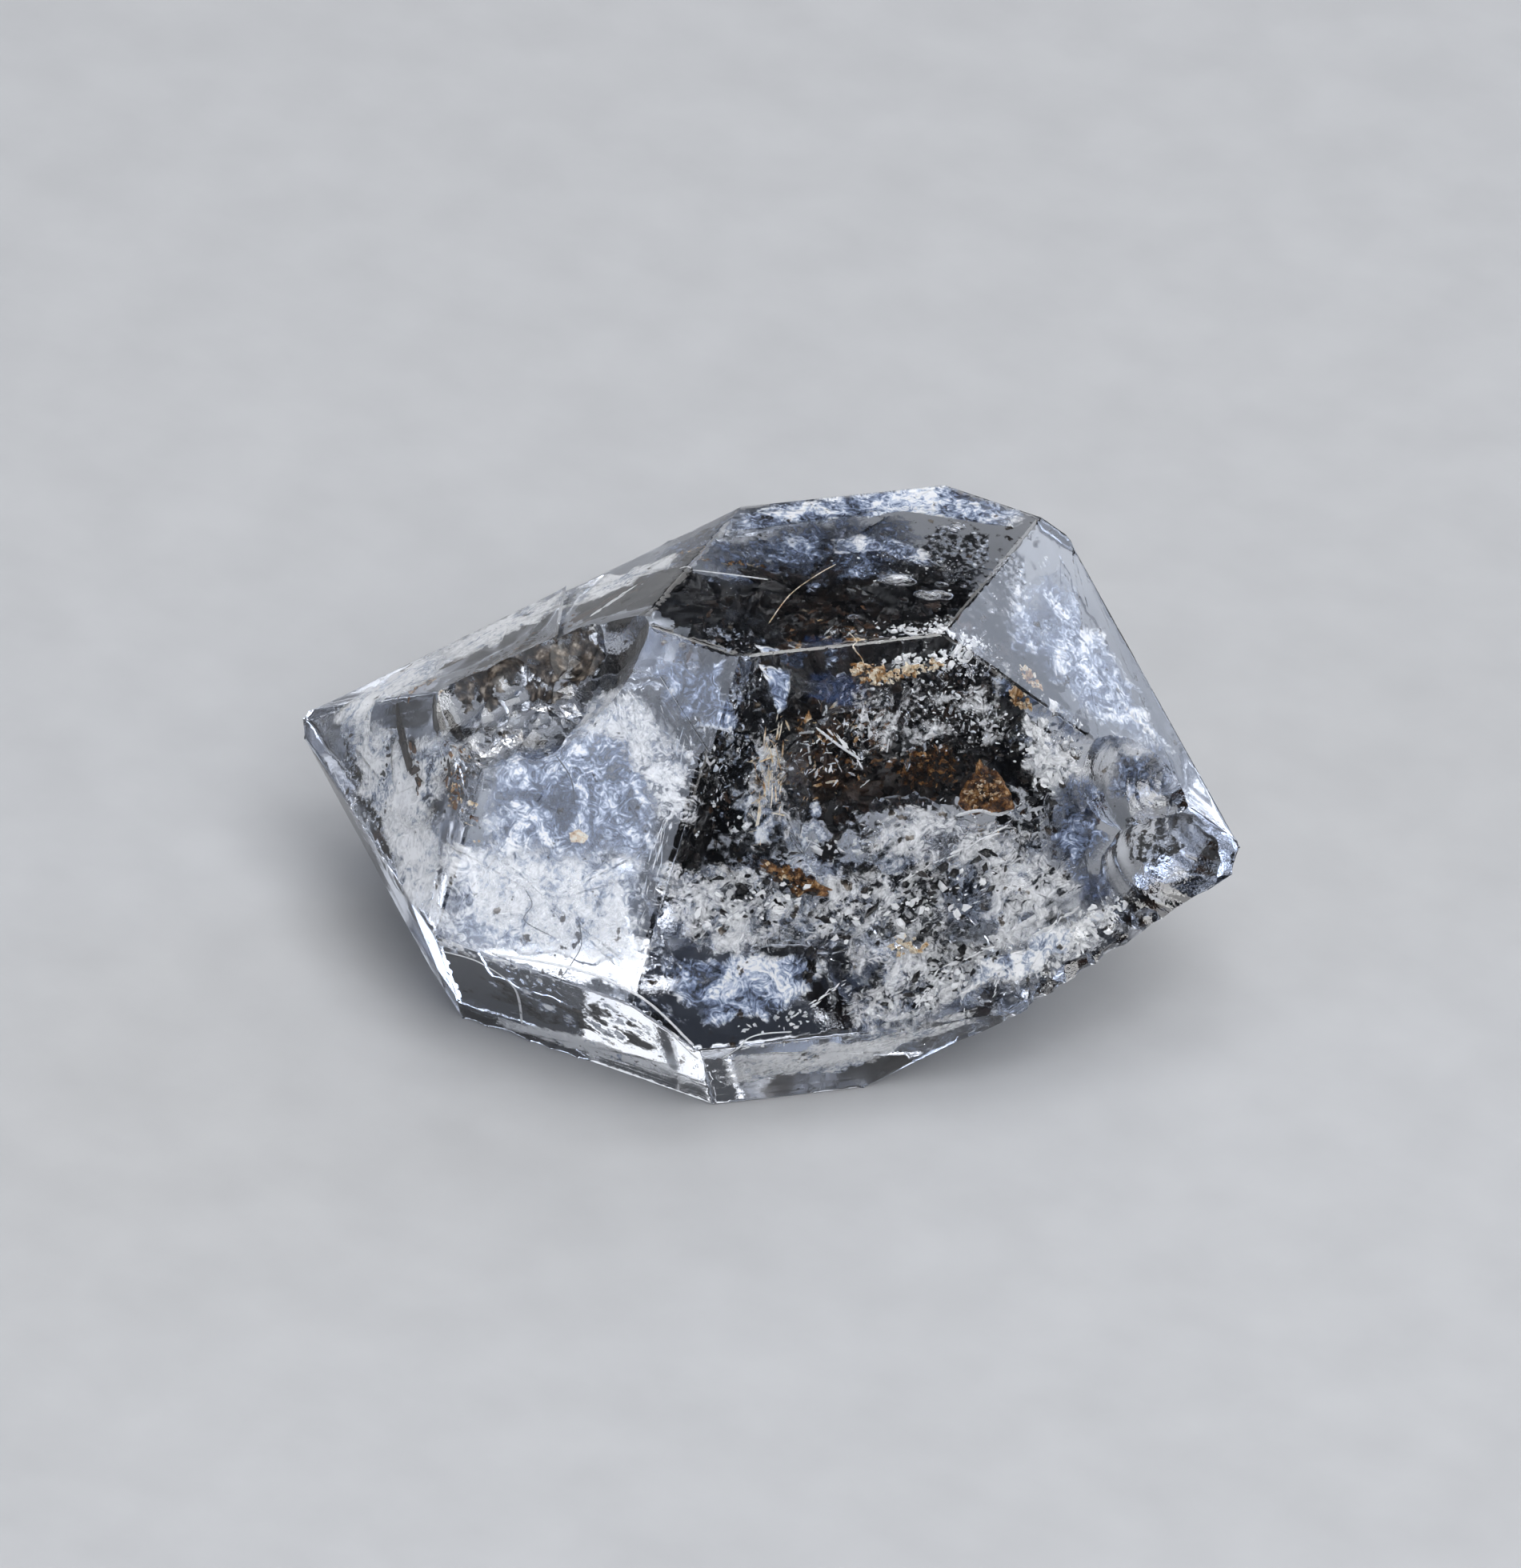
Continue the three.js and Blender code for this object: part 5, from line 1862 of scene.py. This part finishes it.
DUSTED_CRACKS_AND_SPARKLE = (
    # low behind the large face, deep and dark
    Sheet(2.4, ((-1.1, 0.1), (0.3, 0), (1.5, -0.3), (2.4, -0.9), (0.7, -1.35), (-1.3, -1.2)), -20, 12,
          tone=0.3, cover=0.95),
    Sheet(2.3, ((-1.3, -1), (0.6, -1.25), (1.4, -2.4), (0.6, -2.5), (-1.2, -2.4)), -30, 10, tone=0.3,
          cover=0.85),
    Sheet(2.6, ((0.6, -1.25), (3.7, -0.75), (4.9, -1.4), (4, -2.4), (2.2, -2.6), (0.75, -2.5)), -20, 5,
          tone=0.3, cover=0.8),
    Sheet(1.9, ((0.75, -2.6), (4, -2.4), (3.8, -3.4), (1.6, -3.9)), 30, 10, tone=0.36, cover=0.75),
    Sheet(2.2, ((3.6, 1), (5.1, 0.6), (5.1, -1.25), (3.6, -0.75)), 20, 30, tone=0.3, cover=0.9),
    Sheet(1.9, ((-0.9, 1.9), (0.5, 1.9), (0.6, -1.3), (-1.2, -1.4)), 0, 30, tone=0.36, cover=0.55),
    # the same, close under the surface
    film(0.75, ((-1.4, -1.3), (0.7, -1.35), (0.8, -2.4), (-1.2, -2.5)), tone=0.45, cover=0.7),
    film(0.8, ((0.5, -1.35), (3.2, -1.2), (3.3, -2.5), (0.7, -2.5)), tone=0.45, cover=0.7),
    film(0.7, ((3.2, -0.9), (4.9, -1.3), (5.1, -2.1), (3.6, -2.7)), tone=0.45, cover=0.75),
    film(0.7, ((1.6, -2.5), (3.6, -2.4), (4.2, -2.9), (2.9, -3.5), (1.5, -3.8)), tone=0.45, cover=0.75),
    film(0.7, ((3.9, 1.2), (4.9, 0.6), (5.1, -0.4), (4.2, 0)), tone=0.45, cover=0.75),
    # behind the left front face
    Sheet(1.9, ((-4.3, 0.5), (-2.1, 1.5), (-1.2, 0.5), (-1.5, -1.25), (-4.3, -1.25)), 10, 15, tone=0.4,
          cover=0.55),
    # in the left point
    Sheet(1.6, ((-6.4, 0.8), (-4.6, 0.6), (-5.3, -1.9), (-6.1, -0.5)), 10, -10, tone=0.4, cover=0.75),
    # low, behind the lower faces
    film(0.7, ((-4.7, -2.9), (-1.9, -3.6), (-1.3, -4.1), (-1.3, -4.4), (-4.2, -3.55)), tone=0.4, cover=0.65),
    film(0.5, ((-0.5, -4.4), (1.9, -4.05), (3.2, -3.65), (1.6, -4.4), (-0.5, -4.7)), tone=0.66, cover=0.85),
)

FINE_DUST_AND_PAINTED_LIGHT = (
    # in the broken tips and the left point, and under the top face, where the dark dust paints shade
    film(0.4, ((5.5, 0.6), (6.2, 0.4), (6.5, 0), (5.9, -0.3), (5.4, -0.1)), grid_mm=0.08, tone=0.3,
         cover=0.8),
    film(0.4, ((5.6, -0.8), (6.4, -0.6), (6.8, -0.9), (6.3, -1.3), (5.7, -1.2)), grid_mm=0.08, tone=0.36,
         cover=0.85),
    film(0.5, ((-6.7, 0.9), (-4.7, 0.7), (-5.4, -1.9), (-6.2, -0.4)), grid_mm=0.08, tone=0.42, cover=0.8),
    Sheet(2.6, ((2.4, 3.5), (2.8, 4.2), (3.8, 3.9), (3.3, 3), (2.3, 3)), 10, 0, tone=0.3, cover=0.7),
)

MIST_AND_PAINTED_LIGHT = (
    # under the top face: a dim haze that paints shade, a pale wavy veil, and a pale band along the back edge
    Sheet(2.9, ((-0.9, 3.7), (0.6, 4.1), (2.2, 4.25), (2.4, 3.5), (1.8, 3), (0.9, 3), (-0.8, 3.3)), 10, 0,
          tone=0.22, cover=0.75),
    Sheet(1.8, ((-0.4, 3.6), (0.9, 4), (2, 3.9), (2.8, 3.5), (1.8, 3.1), (0.4, 3.15)), 0, 8, tone=0.25,
          cover=0.4),
    Sheet(1.2, ((1.1, 3.88), (1.9, 3.97), (2.5, 3.65), (2.9, 3.4), (2.5, 3.42), (1.8, 3.7), (1.1, 3.66)), 0,
          8, grid_mm=0.08, tone=0.6, cover=0.6, ragged_mm=0.08),
    film(0.15, ((-0.5, 4.2), (1.2, 4.5), (2.3, 4.7), (3.1, 4.74), (4.2, 4.25), (3.9, 4.05), (2.6, 4.28),
         (1.2, 4.15), (-0.5, 3.95)), grid_mm=0.07, tone=0.5, cover=0.8, ragged_mm=0.05),
    # under the left front face: blue grey, with white wisps
    film(0.35, ((-4.2, 0.3), (-3, 0.7), (-2.1, 1.3), (-1.3, 0.4), (-1.6, -1.2), (-4.2, -1.2)), tone=0.44,
         cover=0.65),
    Sheet(0.8, ((-3, 1), (-2, 1.5), (-1.1, 0.5), (-1.4, -0.4), (-2.6, 0)), 0, 10, tone=0.75, cover=0.7),
    film(0.25, ((-2.8, 1.1), (-2, 1.6), (-1.2, 0.6), (-1.3, -0.2), (-2.2, 0.4)), 0, 0, tone=0.85, cover=0.35),
    Sheet(1.3, ((-4.4, 0.2), (-2.6, 0.6), (-1.6, -1), (-4.4, -1.4)), 0, -15, tone=0.4, cover=0.7),
    film(0.5, ((-4.9, -0.9), (-1.6, -0.9), (-1.8, -3), (-5, -2.5)), tone=0.75, cover=0.62),
    film(0.45, ((-1.75, 1.9), (-0.6, 1.85), (-0.5, 0.9), (-1.4, 1)), grid_mm=0.08, tone=0.3, cover=0.7),
    # in the right point
    film(0.3, ((3.7, 2.5), (4.5, 3.6), (5.6, 1.9), (6.4, 0.5), (5.1, 1.1)), tone=0.55, cover=0.55),
    Sheet(1.3, ((3.8, 2.3), (4.5, 3.4), (5.5, 1.9), (6, 0.8), (4.9, 1.2)), 0, 20, tone=0.4, cover=0.65),
    # in the left point, and under its long upper face
    film(0.3, ((-6.7, 0.9), (-4.7, 0.7), (-5.4, -1.9), (-6.2, -0.4)), tone=0.85, cover=0.62),
    film(0.25, ((-6, -0.4), (-5.1, -0.8), (-4.95, -2.3), (-5.5, -1.8)), tone=1, cover=0.75),
    film(0.12, ((-6.8, 1.1), (-5.8, 1.75), (-4.9, 2.2), (-4.9, 1.75), (-5.7, 1.35), (-6.6, 0.9)),
         grid_mm=0.07, tone=0.9, cover=0.75, ragged_mm=0.1),
    film(0.12, ((-5, 2.15), (-3.9, 2.72), (-2.9, 3.1), (-2.9, 2.8), (-4, 2.3), (-4.9, 1.85)), grid_mm=0.07,
         tone=0.95, cover=0.75, ragged_mm=0.1),
    film(0.12, ((-3, 3.05), (-2.1, 3.35), (-1.3, 3.6), (-1.3, 3.42), (-2.2, 3.1), (-3, 2.8)), grid_mm=0.07,
         tone=0.9, cover=0.75, ragged_mm=0.1),
    # a painted blue sheen under the top of the large face, and one by the chipped tip
    Sheet(1.2, ((0.7, 1.75), (1.7, 1.8), (1.8, 1.2), (1.2, 1.05), (0.7, 1.2)), 10, 10, grid_mm=0.08,
          tone=-0.15, cover=0.35),
    film(0.6, ((5, -1.4), (5.4, -1.35), (5.45, -1.9), (5.1, -1.95)), grid_mm=0.06, tone=-0.15, cover=0.45),
    # in the broken tip, beside it, and under the lower right face
    film(0.3, ((5.4, 0.7), (6.2, 0.5), (6.5, -0.1), (5.9, -0.4), (5.3, -0.2)), grid_mm=0.07, tone=0.25,
         cover=0.75),
    film(0.5, ((4.6, 0.3), (5.3, -0.1), (5.5, -0.9), (5.1, -1.8), (4.5, -0.9)), grid_mm=0.08, tone=0.25,
         cover=0.6),
    film(0.3, ((-0.5, -4.35), (1.9, -4), (3.3, -3.6), (1.6, -4.35), (-0.5, -4.7)), grid_mm=0.08, tone=1,
         cover=0.8),
    # flat grey areas and white borders low in the large face
    Sheet(0.7, ((-1.7, -2.6), (-0.2, -2.55), (1.1, -2.75), (1, -3.3), (0.2, -3.7), (-1, -3.9), (-1.5, -3.3)),
          8, 0, 20, 1.2, tone=0.5),
    Sheet(0.6, ((-0.06, 1.9), (0.5, 1.8), (0.46, 1.15), (0.3, 1.05)), 5, 12, 8, 1, grid_mm=0.06, tone=0.5,
          ragged_mm=0.04),
    Sheet(0.8, ((1.3, -3.6), (2.3, -2.9), (3.8, -2.5), (4.2, -2.9), (3, -3.5), (1.6, -4)), 10, 0, tone=0.5,
          cover=0.5),
    film(0.9, ((-1.3, -1.2), (1.5, -1), (4.8, -0.8), (4.9, -2.1), (2, -2.6), (-1.1, -2.5)), 0, 0,
         grid_mm=0.12, tone=0.4, cover=0.22),
    film(0.12, ((3.2, -3.4), (4.4, -2.8), (5.3, -2.2), (5.5, -1.9), (4.5, -2.3), (3.4, -2.9)), grid_mm=0.08,
         tone=0.8, cover=0.85),
    film(0.2, ((-4.3, -3.6), (-2.9, -3.9), (-1.2, -4.45), (-1.1, -4.7), (-3.1, -4.1), (-4.3, -3.72)),
         grid_mm=0.07, tone=1, ragged_mm=0.05),
)

PAINTED_SPARKLE = (
    # low in the large face, under its surface: white that paints sparkle, black that paints shade
    film(0.55, ((-1.5, -1.3), (0.7, -1.35), (0.8, -2.4), (-1.3, -2.6)), tone=0.62, cover=0.34),
    film(0.6, ((0.5, -1.3), (3.2, -1.1), (3.3, -2.5), (0.7, -2.5)), tone=0.6, cover=0.3),
    film(0.5, ((3.2, -0.8), (4.9, -1.2), (5.2, -2), (3.6, -2.7)), tone=0.66, cover=0.34),
    film(0.45, ((1.3, -2.5), (3.6, -2.4), (4.3, -2.9), (2.9, -3.6), (1.2, -3.9)), tone=0.66, cover=0.34),
    film(0.5, ((3.9, 1.2), (4.9, 0.6), (5.2, -0.4), (4.2, 0)), tone=0.8, cover=0.5),
    film(0.65, ((2.2, -0.35), (3.9, -0.55), (4.6, -1), (2.6, -1.25), (1.6, -1)), tone=0.6, cover=0.36),
    film(1.1, ((-0.3, 0.9), (0.4, 0.9), (0.5, -0.9), (-0.3, -0.9)), tone=0.5, cover=0.16),
    film(1, ((0.8, 1.6), (3.9, 1.7), (4.2, 0.6), (2, 0.3)), tone=0.45, cover=0.08),
    # in the wall beside it, and high in the left front face
    film(0.3, ((-2.2, 1.4), (-1.2, 0.6), (-1, -0.6), (-1.6, -0.8), (-2, 0.3)), grid_mm=0.08, tone=0.6,
         cover=0.45),
    film(0.25, ((-4.5, -1.2), (-1.8, -1.3), (-2.1, -2.8), (-4.6, -2.2)), tone=0.6, cover=0.25),
)

# the whites paint sparkle and the near blacks paint shade
SPARKLE_AND_SHADE_GREYS = ("#101013", "#17181C", "#3A3E47", "#878D99", "#D3D6DC", "#FFFFFF")
COARSE_DUST_AND_SPARKLE = CrackDustAndSparkle(grain_mm=0.42, patch_mm=0.7, region_mm=1.33)
THIN_DUST_AND_SPARKLE = CrackDustAndSparkle(grain_mm=0.1, patch_mm=0.8, region_mm=1.52)
PAINTED_SPARKLE_MIST = MistWithPaintedLight(cloud_mm=0.55, wisp_mm=0.2, contrast=4.2, colours=SPARKLE_AND_SHADE_GREYS)

# no edge turns more than this, so nothing is drawn sharp
ROUND = 180

VEILS = "healed_fractures"
INCLUSIONS = (
    Inclusion("carbon_and_clay", "dark_inclusions", CarbonAndClay(), DARK_MASS, 1),
    Inclusion("iron_crusts", "iron_stain", IronOxide(), IRON_CRUSTS, 2),
    Inclusion("dusted_cracks_and_painted_sparkle", VEILS, COARSE_DUST_AND_SPARKLE, DUSTED_CRACKS_AND_SPARKLE, 6, sharp_deg=ROUND),
    Inclusion("fine_dust_and_painted_light", VEILS, THIN_DUST_AND_SPARKLE, FINE_DUST_AND_PAINTED_LIGHT, 7, sharp_deg=ROUND),
    Inclusion("mist_and_painted_light_veils", VEILS, MistWithPaintedLight(), MIST_AND_PAINTED_LIGHT, 8, sharp_deg=ROUND),
    Inclusion("painted_sparkle_veils", VEILS, PAINTED_SPARKLE_MIST, PAINTED_SPARKLE, 9, sharp_deg=ROUND),
    Inclusion("healed_fractures", VEILS, QuartzGap(), FRACTURES, 3, hollow=True),
    Inclusion("milky_veils_and_painted_glints", VEILS, MilkyQuartzAndGlints(), MILKY_AND_GLINTS, 4),
    Inclusion("fluid_bubbles", VEILS, QuartzGap(), BUBBLES, 5, hollow=True, sharp_deg=ROUND),
)


@dataclass(frozen=True)
class Softbox:
    """A soft rectangular studio light, aimed at the crystal.

    Attributes:
        name: Its name.
        azimuth_deg: Turn round the crystal, as for the viewpoint.
        elevation_deg: Height above the horizon.
        width_mm: Its width.
        height_mm: Its height.
        distance_mm: Distance from the crystal.
        radiance: Brightness of its face.
        colour: Its colour.
    """

    name: str
    azimuth_deg: float
    elevation_deg: float
    width_mm: float
    height_mm: float
    distance_mm: float
    radiance: float
    colour: str = "#FFFFFF"

    def make(self) -> None:
        """Makes the light."""
        back = direction(self.azimuth_deg, self.elevation_deg)
        data = bpy.data.lights.new(self.name, "AREA")
        data.shape = "RECTANGLE"
        data.size, data.size_y = self.width_mm * MM, self.height_mm * MM
        data.energy = self.radiance * math.pi * data.size * data.size_y
        data.color = linear(self.colour)[:3]
        light = show(self.name, data)
        light.location = back * self.distance_mm * MM
        light.rotation_euler = back.to_track_quat("Z", "Y").to_euler()


@dataclass
class Studio:
    """A pale floor, softboxes and dim surroundings.

    Attributes:
        floor_mm: Radius of the floor.
        gap_mm: How far the floor lies under the crystal's lowest face.
        rings: Rings of faces in the floor.
        sides: Faces round the floor.
        surroundings: Colour of the dim surroundings.
        strength: Their brightness.
        bounces: How often light may bounce, so that it can leave a clear crystal.
        see_through: How often it may pass a see-through film.
        boxes: The lights.
    """

    floor_mm: float = 320.0
    gap_mm: float = 0.005
    rings: int = 24
    sides: int = 72
    surroundings: str = "#33363C"
    strength: float = 1.0
    bounces: int = 24
    see_through: int = 32
    boxes: tuple[Softbox, ...] = (
        Softbox("key_softbox", -28, 19, 190, 180, 320, 3.4, "#E2ECFF"),
        Softbox("rim_softbox", 150, 20, 190, 180, 320, 4.2, "#E2ECFF"),
        Softbox("side_softbox", 92, 18, 160, 160, 320, 1.5),
        Softbox("back_softbox", 180, 48, 120, 120, 320, 2.2),
        Softbox("corner_softbox", -150, 48, 80, 80, 320, 3.0),
        Softbox("left_softbox", -150, 18, 150, 150, 320, 1.3),
        Softbox("front_softbox", 26, 18, 150, 160, 320, 2.2),
        Softbox("upper_softbox", 45, 53, 220, 220, 320, 8.0),
        Softbox("top_softbox", 0, 84, 280, 280, 330, 4.0),
    )

    def build(self) -> None:
        """Builds the floor, the lights and the world."""
        self.make_floor()
        for box in self.boxes:
            box.make()
        self.make_world()
        self.set_paths()
        bpy.context.scene.view_settings.view_transform = "Standard"

    def make_floor(self) -> bpy.types.Object:
        """Makes the floor as a round sheet of matt white card."""
        points = [Vector((0, 0, -self.gap_mm)) * MM]
        faces = []
        for ring in range(1, self.rings + 1):
            radius = self.floor_mm * (ring / self.rings) ** 2
            for side in range(self.sides):
                turn = math.tau * side / self.sides
                points.append(Vector((radius * math.cos(turn), radius * math.sin(turn), -self.gap_mm)) * MM)
        for side in range(self.sides):
            after = (side + 1) % self.sides
            faces.append((0, 1 + side, 1 + after))
            for ring in range(self.rings - 1):
                inner, outer = 1 + ring * self.sides, 1 + (ring + 1) * self.sides
                faces.append((inner + side, outer + side, outer + after, inner + after))
        mesh = bpy.data.meshes.new("studio_floor")
        mesh.from_pydata(points, [], faces)
        mesh.materials.append(self.card())
        return show("studio_floor", mesh)

    def card(self) -> bpy.types.Material:
        """Makes matt card: pale, even, with a very faint fibre mottle."""
        mottle_mm = 1.5
        shader = Shader("matt_card")
        add = shader.add
        mottle = add(Kind.NOISE, Vector=add(Kind.PLACE), Scale=per_metre(mottle_mm), Detail=5.0)
        colour = add(Kind.RAMP, stops=((0.3, "#8A8B8D"), (0.7, "#8F9092")), Fac=mottle)
        add(Kind.OUTPUT, Surface=add(Kind.SURFACE, Base_Color=colour, Roughness=0.75))
        return shader.material

    def make_world(self) -> None:
        """Makes the dim surroundings."""
        world = bpy.data.worlds.new("studio")
        world.use_nodes = True
        background = world.node_tree.nodes["Background"]
        background.inputs["Color"].default_value = linear(self.surroundings)
        background.inputs["Strength"].default_value = self.strength
        bpy.context.scene.world = world

    def set_paths(self) -> None:
        """Lets light bounce often enough to leave a clear crystal, and tames stray bright points."""
        cycles = bpy.context.scene.cycles
        cycles.transmission_bounces = cycles.glossy_bounces = self.bounces
        cycles.max_bounces = self.bounces + 4
        cycles.diffuse_bounces = 3
        cycles.transparent_max_bounces = self.see_through
        cycles.sample_clamp_indirect = 6.0


def main() -> None:
    """Builds the crystal, what it holds, and the studio."""
    logging.basicConfig(level=logging.INFO, format="%(message)s")
    view = Viewpoint()
    bpy.context.scene.camera = view.make_camera()
    solid = PackedSolid()
    body = CrystalBody(solid).build()
    body.data.materials.append(ClearQuartz().make())
    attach(body, BODY)
    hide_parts(CAD_NODE)
    LOG.info("clear_quartz: %d triangles", len(body.data.polygons))
    sight = Sight(view, solid)
    for inclusion in INCLUSIONS:
        inclusion.build(sight)
    Studio().build()


if __name__ == "__main__":
    main()
